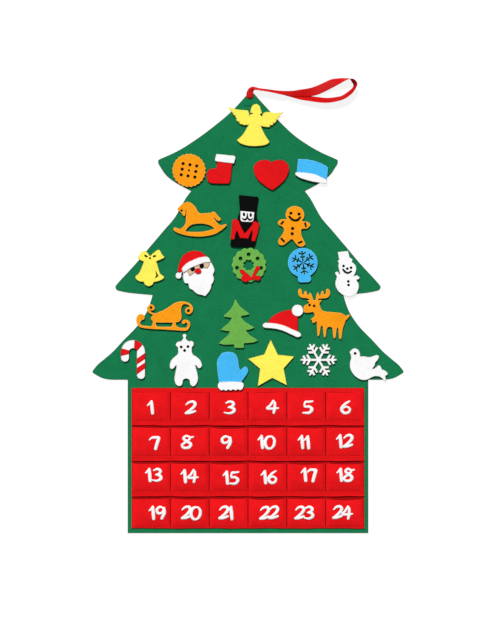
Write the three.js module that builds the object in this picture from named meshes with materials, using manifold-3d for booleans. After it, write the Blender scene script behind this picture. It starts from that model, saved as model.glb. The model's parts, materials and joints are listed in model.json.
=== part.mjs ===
// Felt advent calendar: a fir tree wall hanging with 24 pockets and lift-off felt ornaments.
// Millimetres. It lies on its back: +X right, +Y towards the tip of the tree, +Z out of the front.
import * as THREE from 'three';
import { mergeVertices } from 'three/addons/utils/BufferGeometryUtils.js';
import Module from 'manifold-3d';

const wasm = await Module();
wasm.setup();

// Felt thicknesses and heights
const treeFelt = 3;
const backingFelt = 1.5;
const pocketFelt = 1.5;
const ornamentFelt = 3;
const topFelt = 1.5;
const hookPad = 2;
const seatGap = 0.3;
const pocketDepth = 8;

// One square of the cutting pattern: every outline below is drawn in these squares
const square = 2.25;

// Tree and trunk, in squares from the middle of the sheet
const treeTop = 222;
const trunkHalf = 120.5;
const trunkSide = 4;
const trunkFoot = 5;

// Pockets
const pocketRows = 4;
const pocketColumns = 6;
const firstLip = -80;
const rowPitch = 35.5;
const rowHeight = 30;
const hem = 1.6;
const hemFlap = 3.5;
const backingTop = 4;

// Ribbon, mm
const ribbonThickness = 0.6;
const ribbonWidth = 20;
const ribbonAtHole = 9;
const holeRadius = 5.5;
const backRelief = 1;
const ribbonGap = 0.35;
const ribbonOverTip = 3.3;

// Heights that follow from the felts
const frontZ = treeFelt;
const pocketZ = treeFelt + backingFelt;
const padZ = treeFelt + seatGap;
const plateZ = padZ + hookPad;
const topZ = plateZ + ornamentFelt;

// Levels that follow from the pockets, mm
const lipOfRow = (row) => (firstLip - row * rowPitch) * square;
const lastHem = firstLip - (pocketRows - 1) * rowPitch - rowHeight;
const trunkBottom = lastHem - trunkFoot;
const backingHalf = (trunkHalf - trunkSide) * square;
const pocketWidth = (2 * backingHalf) / pocketColumns;

const colours = {
  green: 0x1e8152,
  red: 0xda1a1c,
  yellow: 0xfef15f,
  orange: 0xfd9e19,
  lime: 0x6eb24d,
  blue: 0x45baf0,
  white: 0xf7f5f6,
  black: 0x0f1011,
  skin: 0xe2c4a8,
  ribbon: 0xc41d1c,
};

const calendar = new THREE.Group();
calendar.name = 'felt_advent_calendar';

function addMesh(name, geometry, colour) {
  const material = new THREE.MeshStandardMaterial({
    color: colours[colour],
    roughness: colour === 'ribbon' ? 0.45 : 0.95,
    metalness: 0,
  });
  const mesh = new THREE.Mesh(geometry, material);
  mesh.name = name;
  calendar.add(mesh);
  return mesh;
}

// Outlines

const toMm = ([x, y]) => new THREE.Vector2(x * square, y * square);

// Each run is a list of points: one point is a straight line, several are a smooth curve
const curveSteps = 2;
const apart = (a, b) => a.distanceTo(b) > 0.01;

function outline(start, ...runs) {
  const points = [toMm(start)];
  for (const run of runs) {
    const from = points[points.length - 1];
    const path = [from, ...run.map(toMm)].filter((p, i, all) => i === 0 || apart(p, all[i - 1]));
    if (path.length === 2) {
      points.push(path[1]);
    } else {
      const curve = new THREE.SplineCurve(path);
      points.push(...curve.getPoints(curveSteps * (path.length - 1)).slice(1));
    }
  }
  if (!apart(points[0], points[points.length - 1])) {
    points.pop();
  }
  return new THREE.Shape(THREE.ShapeUtils.isClockWise(points) ? points.reverse() : points);
}

const polygon = (points) => outline(points[0], ...points.slice(1).map((point) => [point]));

function disc([x, y], radius, sides = 12) {
  const points = [];
  for (let i = 0; i < sides; i += 1) {
    const angle = (2 * Math.PI * i) / sides;
    points.push([x + radius * Math.cos(angle), y + radius * Math.sin(angle)]);
  }
  return polygon(points);
}

// A round edge with bumps, pressed in between them
function scalloped([x, y], radius, dent, bumps) {
  const points = [];
  const steps = bumps * 4;
  for (let i = 0; i < steps; i += 1) {
    const angle = (2 * Math.PI * i) / steps;
    const r = radius - dent * (1 - Math.abs(Math.sin((bumps * angle) / 2)));
    points.push([x + r * Math.cos(angle), y + r * Math.sin(angle)]);
  }
  return polygon(points);
}

const box = (x0, y0, x1, y1) => polygon([[x0, y0], [x1, y0], [x1, y1], [x0, y1]]);

// A straight narrow slot between two points
function slot([x0, y0], [x1, y1], width) {
  const length = Math.hypot(x1 - x0, y1 - y0);
  const nx = (-(y1 - y0) / length) * (width / 2);
  const ny = ((x1 - x0) / length) * (width / 2);
  return polygon([[x0 + nx, y0 + ny], [x0 - nx, y0 - ny], [x1 - nx, y1 - ny], [x1 + nx, y1 + ny]]);
}

// Solids

function sheetOf(shape, bottom, thickness) {
  const geometry = new THREE.ExtrudeGeometry(shape, { depth: thickness, bevelEnabled: false });
  geometry.translate(0, 0, bottom);
  return geometry;
}

function toManifold(geometry) {
  const bare = geometry.clone();
  bare.deleteAttribute('normal');
  bare.deleteAttribute('uv');
  const welded = mergeVertices(bare, 1e-5);
  const mesh = new wasm.Mesh({
    numProp: 3,
    vertProperties: new Float32Array(welded.attributes.position.array),
    triVerts: new Uint32Array(welded.index.array),
  });
  return new wasm.Manifold(mesh);
}

function toGeometry(solid) {
  const mesh = solid.getMesh();
  const geometry = new THREE.BufferGeometry();
  geometry.setAttribute('position', new THREE.BufferAttribute(mesh.vertProperties, 3));
  geometry.setIndex(new THREE.BufferAttribute(mesh.triVerts, 1));
  geometry.computeVertexNormals();
  return geometry;
}

const united = (...parts) => toGeometry(parts.map(toManifold).reduce((a, b) => a.add(b)));

const cutAway = (body, ...tools) =>
  toGeometry(tools.map(toManifold).reduce((a, b) => a.subtract(b), toManifold(body)));

const common = (a, b) => toGeometry(toManifold(a).intersect(toManifold(b)));

function placed(geometry, [x, y]) {
  geometry.translate(x * square, (y - sheetMiddle) * square, 0);
  return geometry;
}

// The sheet is centred on the whole height, from the foot of the trunk to the tip
const sheetMiddle = (treeTop + trunkBottom) / 2;

// Tree panel: three tiers of branches over a wide trunk, with the ribbon hole in the tip

// The tip leans to the right: this moves the points near the top
const tipLean = 2.9;
const leanFrom = 175.6;
const leanTo = 202.2;
function lean(y) {
  const share = (y - leanFrom) / (leanTo - leanFrom);
  return tipLean * Math.min(1, Math.max(0, share));
}

const rightSide = [
  [[18.1, 202.2], [32.6, 188.4], [48, 175.6], [66.2, 163.6], [78.7, 157.3]],
  [[90.2, 152.2]],
  [[89.8, 148.9]],
  [[83.1, 138.2], [72.9, 129.8], [56.9, 121.1]],
  [[62.7, 113.3], [73.3, 94.7], [83.1, 83.1], [100.4, 62.7], [112, 48.9], [128, 31.6]],
  [[133.3, 25.3]],
  [[131.6, 21.8]],
  [[120, 19.3], [95.6, 16.9]],
  [[100.9, 1.3], [111.1, -14.2], [125.3, -28.9], [135.6, -40], [150.2, -52.4]],
  [[156.9, -60.4]],
  [[144.4, -66.7]],
  [[trunkHalf, -68]],
  [[trunkHalf, trunkBottom]],
];

function treeOutline() {
  const leaning = ([x, y], side) => [side * x + lean(y), y];
  const right = rightSide.map((run) => run.map((point) => leaning(point, 1)));
  const corners = rightSide.map((run) => run[run.length - 1]);
  const left = [];
  for (let i = rightSide.length - 1; i >= 0; i -= 1) {
    const before = rightSide[i].slice(0, -1).reverse();
    const start = i > 0 ? [corners[i - 1]] : [[0, treeTop]];
    left.push([...before, ...start].map((point) => leaning(point, -1)));
  }
  const foot = [leaning([trunkHalf, trunkBottom], -1)];
  return outline([lean(treeTop), treeTop], ...right, foot, ...left);
}

const holeCentre = [1.8, 216.4];

function treePanel() {
  const shape = treeOutline();
  const centre = toMm(holeCentre);
  shape.holes.push(disc(holeCentre, holeRadius / square, 20));
  const panel = sheetOf(shape, 0, treeFelt);
  const long = 2 * (treeTop * square - centre.y);
  const relief = new THREE.BoxGeometry(2 * ribbonAtHole, long, 2 * backRelief);
  relief.translate(centre.x + 1, centre.y + long / 2, 0);
  return cutAway(panel, relief);
}

addMesh('tree_panel', placed(treePanel(), [0, 0]), 'green');

// Pockets: one backing sheet and four rows, each row one strip sewn down between its pockets

function pocketBacking() {
  const half = backingHalf / square;
  const shape = box(-half, lastHem, half, firstLip + backingTop);
  return sheetOf(shape, frontZ, backingFelt);
}

addMesh('pocket_backing', placed(pocketBacking(), [0, 0]), 'red');

// How far the front stands off: 0 along the seams, most in the middle of the mouth
function standOff(u, v) {
  return pocketDepth * (1 - u ** 4) * (1 - (1 - v) ** 3);
}

function pocketRow(row) {
  const across = [-1, -0.8, -0.4, 0, 0.4, 0.8];
  const up = [0, 0.25, 0.5, 0.75, 1];
  const lip = lipOfRow(row);
  const seam = lip - (rowHeight - hem) * square;
  const flap = row < pocketRows - 1 ? hemFlap : 0;
  const bottom = lip - (rowHeight + flap) * square;
  const xs = [];
  for (let column = 0; column < pocketColumns; column += 1) {
    const middle = -backingHalf + (column + 0.5) * pocketWidth;
    across.forEach((u) => xs.push({ x: middle + (u * pocketWidth) / 2, u }));
  }
  xs.push({ x: backingHalf, u: 1 });
  const ys = [{ y: bottom, v: 0 }, ...up.map((v) => ({ y: seam + v * (lip - seam), v }))];
  return shapedSheet(xs, ys);
}

// A box whose grid of points is moved onto the given columns and rows, and lifted
function shapedSheet(xs, ys) {
  const columns = xs.length - 1;
  const rows = ys.length - 1;
  const geometry = new THREE.BoxGeometry(columns, rows, 1, columns, rows, 1);
  const position = geometry.attributes.position;
  for (let i = 0; i < position.count; i += 1) {
    const column = xs[Math.round(position.getX(i) + columns / 2)];
    const line = ys[Math.round(position.getY(i) + rows / 2)];
    const front = position.getZ(i) > 0 ? pocketFelt : 0;
    const lift = standOff(column.u, line.v);
    position.setXYZ(i, column.x, line.y, pocketZ + lift + front);
  }
  geometry.computeVertexNormals();
  return geometry;
}

for (let row = 0; row < pocketRows; row += 1) {
  addMesh(`pocket_row_${row + 1}`, placed(pocketRow(row), [0, 0]), 'red');
}

// Ornaments: a plate, its hook pad behind it, and the felt of other colours on top

const plate = (shape) => sheetOf(shape, plateZ, ornamentFelt);
const layer = (shape) => sheetOf(shape, topZ, topFelt);
const overLayer = (shape) => sheetOf(shape, topZ + topFelt, topFelt);

// The pad is sewn to the plate, so the two are one body
function withPad(geometry, [x, y], width = 8, height = 6) {
  const pad = new THREE.BoxGeometry(width * square, height * square, hookPad + ornamentFelt / 2);
  pad.translate(x * square, y * square, padZ + (hookPad + ornamentFelt / 2) / 2);
  return united(geometry, pad);
}

function withHoles(shape, holes) {
  holes.forEach((hole) => shape.holes.push(hole));
  return shape;
}

// Angel

const angel = outline([1.4, 23],
  [[-1.6, 22.2], [-3.5, 19.6], [-4.8, 14.3]],
  [[-1.4, 13.4]],
  [[-5, 12.4]],
  [[-5.4, 10.7]],
  [[-6.6, 15.6], [-8.8, 16.7], [-15, 17.2], [-20.7, 18.2], [-27.3, 20.2]],
  [[-23.4, 15.6]],
  [[-22.6, 13.6], [-21.2, 12]],
  [[-19.4, 9.8]],
  [[-18.5, 6.7]],
  [[-16.7, 5]],
  [[-13.6, 2.3], [-9.7, 1.9]],
  [[-6.3, 2.2]],
  [[-8.3, -1.2], [-11.4, -6.5], [-15, -10.5], [-18.1, -13.1]],
  [[-15, -16.2], [-9.7, -18.2], [-3.5, -19.1], [2.7, -19.1], [8.9, -18.3], [12.4, -17.1]],
  [[14.6, -14.9]],
  [[12.4, -11.8], [9.8, -7.4], [7.1, -2.1], [5.8, 1]],
  [[9.8, 0.1], [14.6, -0.1]],
  [[15.5, 1.4]],
  [[17.7, 1.9]],
  [[18.4, 3.2]],
  [[20, 4.1]],
  [[22.6, 7.2], [23.9, 9.8]],
  [[26.1, 12.5]],
  [[28.3, 14.9]],
  [[24.8, 14.3], [19.5, 14], [15.5, 14.9], [12.4, 15.1], [8.9, 14.3], [7.6, 12.3]],
  [[6.7, 10.3]],
  [[4.9, 12.6]],
  [[7, 13.9]],
  [[5.8, 17.4], [4.4, 21.4], [1.4, 23]],
);
addMesh('angel', placed(withPad(plate(angel), [0, 3], 9, 7), [7, 185]), 'yellow');

// Cookie, with a square of small holes turned a little

function cookieHoles(pitch, turn) {
  const holes = [];
  for (let i = -1; i <= 1; i += 1) {
    for (let j = -1; j <= 1; j += 1) {
      const x = i * pitch;
      const y = j * 0.82 * pitch;
      const radius = i === 0 && j === 0 ? 0.75 : 1.25;
      const at = [x * Math.cos(turn) - y * Math.sin(turn), x * Math.sin(turn) + y * Math.cos(turn)];
      holes.push(disc(at, radius));
    }
  }
  return holes;
}

const cookie = withHoles(scalloped([0, 0], 16.8, 0.9, 24), cookieHoles(6.9, -0.17));
addMesh('cookie', placed(withPad(plate(cookie), [0, 9.4], 8, 4), [-59, 141.6]), 'orange');

// Stocking

const boot = outline([-6.4, 13.2],
  [[-7.2, 3.3]],
  [[-8.2, 0.4], [-12.7, 0.6], [-16.4, -2.2], [-17.2, -6.4], [-17, -9.5], [-15.6, -12.8], [-12.7, -14.4]],
  [[3.2, -14.8], [5.9, -13], [6.8, -9]],
  [[7.6, -1.1], [9.4, 11.4]],
);
const stockingCuff = outline([-6.4, 14.9],
  [[9.8, 13.2]],
  [[11.4, 12.2], [11.3, 10]],
  [[10.2, 6.2]],
  [[9.6, 5.4], [8.6, 5.5]],
  [[-7.6, 7.5]],
  [[-8.9, 8.2], [-9, 9.8]],
  [[-8.2, 13]],
  [[-7.6, 14.6], [-6.4, 14.9]],
);
addMesh('stocking_boot', placed(withPad(plate(boot), [0, -2]), [-24, 143]), 'red');
addMesh('stocking_cuff', placed(layer(stockingCuff), [-24, 143]), 'white');

// Heart

const heart = outline([0.4, 12],
  [[-3, 13.8], [-6.6, 14.1], [-12.5, 12.7], [-16.8, 8.8], [-17.5, 4.8], [-15.9, -1.4], [-12.4, -6.7],
    [-7.1, -11.1], [-1.8, -14.7], [1.8, -16.2]],
  [[6.2, -12.9], [12.4, -7.6], [15.9, -2.3], [18.1, 3.9], [17.2, 9.2], [14.1, 12.6], [9.7, 14.1],
    [4.4, 13.5], [0.4, 12]],
);
addMesh('heart', placed(withPad(plate(heart), [0, 2]), [23, 138]), 'red');

// Cap: a curved blue band with a white brim sewn over its lower edge

const capBand = outline([-12.9, 11],
  [[-5.5, 10.7], [1.5, 9.6], [9.5, 7], [15.9, 3.7]],
  [[17, 2.6]],
  [[16.6, -3.6], [15.6, -12]],
  [[5.1, -9.6], [-1.1, -8], [-8.2, -5.8], [-14.6, -4.6]],
);
const capBrim = outline([-15.3, -2.3],
  [[-8.2, -2.6], [-1.1, -3.4], [4.2, -4.5], [10.4, -7.2], [16, -10]],
  [[15.6, -14]],
  [[9.9, -13.1], [5.1, -12.3], [-1.1, -11.1], [-6.4, -9.6], [-11.7, -7.6], [-15.9, -4.7]],
);
addMesh('cap_band', placed(withPad(plate(capBand), [1, 2]), [63, 142]), 'blue');
addMesh('cap_brim', placed(layer(capBrim), [63, 142]), 'white');

// Rocking horse

const horse = outline([-21.7, 13.5],
  [[-19.2, 15.9], [-17.4, 18.1]],
  [[-14.3, 19], [-12.1, 20.1], [-9.5, 19.8], [-5.9, 17.6], [-3.7, 15], [-2.4, 12.8], [-1.1, 10.6],
    [1.1, 8.5]],
  [[5.6, 8.8], [11.8, 9.2], [14.4, 10.6]],
  [[16.2, 9.7], [18.8, 6.6], [22.2, 2.6]],
  [[20.2, 0.8]],
  [[17.9, 1.7]],
  [[14.4, 5.3]],
  [[16.2, 1.7], [18.8, -1.4], [21, -3.1]],
  [[24.6, -2.7]],
  [[27, -1.8]],
  [[27.9, -3.4]],
  [[25, -6.2], [18.8, -10.7], [11.8, -13.3], [3.8, -14.5], [-3.3, -14.6], [-11.2, -13.8],
    [-18.3, -12], [-23.6, -9.8]],
  [[-25.8, -7.6]],
  [[-24.5, -5.2]],
  [[-21.8, -6.2], [-18.7, -6.9]],
  [[-16.1, -4.9], [-13.9, -1.8], [-13, 1.7], [-13.2, 4.4]],
  [[-12.6, 8.4], [-12.6, 11.6]],
  [[-13.6, 11.4]],
  [[-13.4, 8.6], [-14, 6.2]],
  [[-15.2, 5.7]],
  [[-17.4, 8.4]],
  [[-18.7, 10.1], [-21, 11.9]],
);
const rockerOpening = outline([-13.7, -9.3],
  [[-10.8, -5.4], [-6.8, -2.7], [-1.5, -1.8], [4.7, -1.8], [10, -3.1], [13.5, -4.9], [15.3, -6.7]],
  [[10, -8.4], [3.8, -9.6], [-3.3, -10], [-9.5, -9.8], [-13.7, -9.3]],
);
const horseEye = disc([-17.4, 11.5], 0.8);
const rockingHorse = withHoles(horse, [rockerOpening, horseEye]);
addMesh('rocking_horse', placed(withPad(plate(rockingHorse), [1.5, 3.4], 8, 7), [-49, 90]), 'orange');

// Toy soldier: black body, red coat and a light face

const soldierBody = outline([-5.4, 26],
  [[11.8, 24.2]],
  [[13.2, 23.2], [12.8, 21.4]],
  [[11, 8.6]],
  [[11.6, 2]],
  [[14, -3]],
  [[10.4, -21.4]],
  [[9.2, -24.8], [7.6, -26]],
  [[-7.6, -26]],
  [[-13.8, -25.4], [-15.2, -23.6]],
  [[-14.4, -19]],
  [[-11.6, -1]],
  [[-8.2, 1.6]],
  [[-6.8, 6]],
  [[-5.6, 10]],
  [[-6.6, 24.4]],
  [[-6.4, 25.6], [-5.4, 26]],
);
const soldierCoat = outline([-14.9, -18.2],
  [[-13.9, -8], [-13, 0.4]],
  [[-11.4, 1.7], [-9, 1.8], [-7, 0.8]],
  [[-4.4, -5.6], [-0.8, -12.4]],
  [[3.4, -8], [7, -3.4]],
  [[7.6, -0.8], [10, -0.4], [12.6, -1.6], [14, -3.2]],
  [[12.4, -12], [9.6, -20.6]],
  [[5.8, -20]],
  [[7.2, -10.6]],
  [[6.2, -9.6]],
  [[2.8, -17.8]],
  [[-5.6, -17]],
  [[-8.2, -9.6]],
  [[-9.6, -12]],
  [[-11, -18.8]],
);
const soldierFace = outline([-4.3, 10],
  [[8.3, 8.8]],
  [[9, 8.4], [8.9, 7.4]],
  [[8.2, 1.2]],
  [[7, -0.5], [5.4, -1.1]],
  [[-2.6, -0.8]],
  [[-4.4, 0], [-5, 1.6]],
  [[-5, 9.2]],
  [[-4.9, 9.9], [-4.3, 10]],
);
addMesh('soldier_body', placed(withPad(plate(soldierBody), [0, 2]), [-2.6, 91]), 'black');
addMesh('soldier_coat', placed(layer(soldierCoat), [-2.6, 91]), 'red');
addMesh('soldier_face', placed(layer(soldierFace), [-2.6, 91]), 'white');

// Gingerbread figure

const gingerbread = outline([1, 23],
  [[-3.2, 22.1], [-6.6, 19.6], [-8.2, 15.6], [-8.2, 12.6], [-6.8, 9.6]],
  [[-10.5, 9.8], [-13.9, 9.2], [-16, 6.7], [-15.1, 4], [-12, 2.5]],
  [[-10.5, 0.9], [-10.1, -1.8], [-12, -6], [-14.7, -9.5], [-15.8, -12.5], [-15.1, -15.2],
    [-12.4, -16.4], [-8.9, -15.2], [-2.8, -10.1]],
  [[-0.8, -11], [1.8, -14.8], [4.2, -16.9], [7.4, -17.8], [10.7, -16.2], [10.9, -13.7], [8.8, -9.5],
    [7.2, -4.8], [7.2, -0.6]],
  [[8.8, 0.2], [13, 0.5], [15.7, 2.8], [16.2, 4.5], [14.5, 6.7], [11.1, 7.5], [7.6, 8]],
  [[9.7, 10.8], [10.2, 14.4], [9, 18.6], [6, 21.6], [1, 23]],
);
const gingerEyes = [[-3.1, 15.8], [5, 14.9]].map((at) => disc(at, 1.2));
const gingerSmile = outline([-5.5, 12.4],
  [[-2.8, 9.1], [1, 7.7], [4.6, 8.5], [6.9, 11.8]],
  [[5.8, 12.5]],
  [[3.9, 10.2], [1, 9.3], [-2, 10.6], [-4.5, 13.1]],
);
const gingerButtons = [[-1.4, 0.5], [-1.8, -4.8]].map((at) => disc(at, 1.3));
const gingerSeams = [
  slot([-12.9, 4.7], [-10.6, 7.6], 1.3),
  slot([11, 6.2], [12, 2.2], 1.3),
  slot([-13, -9.4], [-9.6, -12.9], 1.3),
  slot([4.2, -14.2], [8.2, -12.5], 1.3),
];
const gingerHoles = [...gingerEyes, gingerSmile, ...gingerButtons, ...gingerSeams];
const gingerMan = withHoles(gingerbread, gingerHoles);
addMesh('gingerbread_man', placed(withPad(plate(gingerMan), [0.6, 4.2], 8, 4.6), [46, 83]), 'orange');

// Bell with a bow

const bell = outline([-2.4, 17.1],
  [[-4.6, 19], [-7.8, 18.7], [-10, 15.6], [-12.4, 12.4], [-9.8, 9.8], [-6.2, 8.5]],
  [[-7.8, 3.7], [-9.8, -0.9], [-11.3, -3.6], [-14, -5.9], [-14.6, -7.5], [-13.2, -9.8], [-10.2, -11.5],
    [-6.3, -11.8]],
  [[-4.8, -14.8], [-1.3, -16.3], [2.2, -14.8], [3.7, -12.2]],
  [[9.1, -10.9], [12.9, -9], [14.1, -7.1], [12.2, -5.2], [10.2, -3.6], [8.7, 0.6], [7.2, 6], [6, 8.5]],
  [[12.9, 11.4], [14.5, 13.3]],
  [[12.2, 15.2], [10.2, 19.1], [8.5, 20.2], [5.6, 18.7], [0, 13.8]],
);
const bellSlits = [
  slot([-5.2, 14.5], [-2.8, 13.3], 1.1),
  slot([3.3, 13.5], [5.6, 14.1], 1.1),
  polygon([[5.5, -0.4], [8.1, -5.9], [5.4, -7.9], [6, -6.6], [6.7, -5.8]]),
];
const bellShape = withHoles(bell, [...bellSlits, disc([0, 11.8], 0.7)]);
addMesh('bell', placed(withPad(plate(bellShape), [-0.6, 1]), [-98, 42]), 'yellow');

// Father Christmas: a white head, with the face, hat and nose on it and the trim over the hat's edge

const santaHead = outline([13.6, 12.7],
  [[15.5, 9.2], [17.3, 5.4], [17.3, 2.3], [15.9, -0.8]],
  [[16.9, -4.6], [16.4, -7.7], [14.4, -10.8]],
  [[14, -13.8], [12.1, -17.7], [8.2, -22.3]],
  [[5.2, -21.2], [1.3, -20.4], [-1.8, -18.5], [-4.1, -16.2]],
  [[-7.2, -14.6], [-8.2, -12], [-8.7, -9.6]],
  [[-11.8, -9.2], [-12.9, -7.7], [-14.1, -3.1], [-13.7, 0]],
  [[-14.6, 2.2]],
  [[-15.6, -0.4]],
  [[-15.6, -2.8], [-17.4, -4.6], [-20, -4.4], [-21.4, -2], [-20.8, 0.4], [-19.2, 1.4]],
  [[-18.1, 8.5], [-15.8, 14.4], [-13.1, 18.6], [-8.7, 21.6], [-2.5, 22.8], [2.8, 22], [7.5, 19.3],
    [11, 16.6]],
);
const santaHat = outline([-19.3, 2],
  [[-18.4, 8.5], [-16.1, 14.7], [-13.3, 18.9], [-8.7, 22], [-2.5, 23.2], [2.8, 22.4], [7.5, 19.7],
    [9.6, 17.4]],
  [[8.6, 15.6]],
  [[2.8, 14.6], [-3.3, 12.2], [-9.5, 9.2], [-13.2, 5.4], [-14.6, 3]],
  [[-17, 1.4]],
);
const santaTrim = outline([13.4, 13.4],
  [[12.2, 15.8], [9, 17.3], [2.8, 16.5], [-3.3, 14.2], [-9.5, 11.2], [-14.1, 6.9], [-15, 4.4],
    [-13.3, 1.5]],
  [[-11.8, 2.3], [-6.4, 5.8], [-0.2, 8.5], [7.5, 11.2], [12.8, 11.7], [13.4, 13.4]],
);
const santaFace = outline([-10.6, 3.6],
  [[-6.4, 6.6], [-0.2, 9.6], [7.5, 12.2], [12, 12.6]],
  [[13, 10.4], [10.4, 5.6]],
  [[6, 6.2], [0, 4.4], [-3.6, 0.6], [-7.6, -2]],
);
const santaNose = disc([1, 2.9], 2.6);
const santaAt = [-51, 38];
addMesh('santa_beard', placed(withPad(plate(santaHead), [1, 0], 9, 7), santaAt), 'white');
addMesh('santa_face', placed(layer(santaFace), santaAt), 'skin');
addMesh('santa_hat', placed(layer(santaHat), santaAt), 'red');
addMesh('santa_trim', placed(overLayer(santaTrim), santaAt), 'white');
addMesh('santa_nose', placed(overLayer(santaNose), santaAt), 'red');

// Wreath with holes for berries, and a red bow

const wreathHoles = [[-0.4, 10.6], [-8.5, 6.5], [8.6, 6.5], [-12, -2.8], [12.1, -3]];
const wreath = withHoles(scalloped([0, 0], 17.3, 1.3, 15), [
  scalloped([-0.4, 0], 5.6, 1.1, 8),
  ...wreathHoles.map((at) => disc(at, 1.6)),
]);
const wreathBow = outline([-9.6, -5.6],
  [[-8.4, -4.4], [-6, -4.8]],
  [[-1.6, -8.4], [2.4, -12.2]],
  [[5, -6.4], [7.2, -1.4]],
  [[8.8, -0.8], [10.8, -2], [11.2, -3.4]],
  [[8.4, -7.2], [6.2, -11]],
  [[8.6, -10.6], [11, -11], [11.6, -13.4], [9.4, -15.6], [5.4, -14.6]],
  [[3, -15]],
  [[0, -15.6], [-3.4, -17.2], [-6.8, -15.6], [-7.6, -12.4], [-6, -10.2]],
  [[-8.4, -8]],
);
addMesh('wreath', placed(withPad(plate(wreath), [-10.8, 1], 4, 4), [1, 47]), 'lime');
addMesh('wreath_bow', placed(layer(wreathBow), [1, 47]), 'red');

// Snowflake arms, for the cut-outs in the globe and for the snowflake

// One side of an arm along +X: a stem with side branches, each [where, length]
function armSide(halfWidth, branches, branchAngle) {
  const cos = Math.cos(branchAngle);
  const sin = Math.sin(branchAngle);
  const points = [];
  for (const [from, length] of branches) {
    const near = (halfWidth * (1 - cos)) / sin;
    const far = (halfWidth * (1 + cos)) / sin;
    points.push([from + near * cos - halfWidth * sin, halfWidth]);
    points.push([from + length * cos - halfWidth * sin, length * sin + halfWidth * cos]);
    points.push([from + length * cos + halfWidth * sin, length * sin - halfWidth * cos]);
    points.push([from + far * cos + halfWidth * sin, halfWidth]);
  }
  return points;
}

const mirrored = (points) => points.map(([x, y]) => [x, -y]).reverse();

function turned(points, angle) {
  const cos = Math.cos(angle);
  const sin = Math.sin(angle);
  return points.map(([x, y]) => [x * cos - y * sin, x * sin + y * cos]);
}

const moved = (points, [dx, dy]) => points.map(([x, y]) => [x + dx, y + dy]);
const armCount = 6;
const armStep = (2 * Math.PI) / armCount;

function arc([x, y], radius, fromDegrees, toDegrees, steps = 8) {
  const points = [];
  for (let i = 0; i <= steps; i += 1) {
    const angle = ((fromDegrees + ((toDegrees - fromDegrees) * i) / steps) * Math.PI) / 180;
    points.push([x + radius * Math.cos(angle), y + radius * Math.sin(angle)]);
  }
  return points;
}

// Snow globe

const globe = outline([-5.2, -12.8],
  arc([-0.2, 3.2], 14.9, 250, -61, 14),
  [[8, -11.7]],
  [[8, -14], [5.9, -16.2]],
  [[-2.5, -16.5]],
  [[-4.6, -15.2], [-5.2, -12.8]],
);

function globeCuts(turn) {
  const halfWidth = 0.62;
  const side = armSide(halfWidth, [[5, 2.7], [8.2, 4.2]], Math.PI / 3);
  const upper = [[2.6, halfWidth], ...side, [11.8, halfWidth]];
  const arm = [...upper, ...mirrored(upper)];
  const cuts = [];
  for (let i = 0; i < armCount; i += 1) {
    cuts.push(polygon(moved(turned(arm, i * armStep + turn), [0.2, 3.3])));
  }
  return cuts;
}

const snowGlobe = withHoles(globe, globeCuts(0.63));
addMesh('snow_globe', placed(withPad(plate(snowGlobe), [1.5, -11.5], 7, 3.6), [55, 46]), 'blue');

// Snowman

const snowman = outline([-9.2, 23],
  [[1.1, 24]],
  [[2.6, 17.8]],
  [[5.7, 15.5]],
  [[4.9, 13.2]],
  [[8.4, 9.8], [9.2, 5.9], [8.4, 2.2], [6.5, -1.2]],
  [[9.9, -0.4], [12.6, -2.5], [11.5, -4.3], [9.2, -4.8]],
  [[11.5, -8.7], [11.8, -12.5], [10.3, -17.2], [8.2, -19.5], [3, -21.8], [-1.6, -21], [-4.7, -19.6],
    [-8.5, -16.4], [-11.2, -11.8], [-11.6, -7.2], [-10.1, -1.8]],
  [[-11.6, 0.9], [-11.6, 2.8], [-9.3, 3.2], [-7.8, 1.3]],
  [[-6.8, 0.6]],
  [[-7.8, 4.4], [-8.7, 9], [-8.2, 12.1]],
  [[-9.2, 13]],
  [[-8.9, 14.4]],
  [[-7.8, 15.5]],
);
const snowmanFace = [[-3.5, 9], [4, 7.3], [0.3, 6.3]].map((at) => disc(at, 1));
const snowmanSmile = outline([-4.6, 5.5],
  [[-2.5, 2.6], [1.1, 1.3], [4.9, 3.5]],
  [[3.9, 4.4]],
  [[1, 2.6], [-1.7, 4], [-3.8, 6.2]],
);
const snowmanButtons = [[1.3, -6.4], [1.5, -10]].map((at) => disc(at, 1));
const snowmanHoles = [...snowmanFace, snowmanSmile, ...snowmanButtons];
const snowmanShape = withHoles(snowman, snowmanHoles);
addMesh('snowman', placed(withPad(plate(snowmanShape), [-4, -8], 7, 7), [99, 37]), 'white');

// Sleigh

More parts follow.
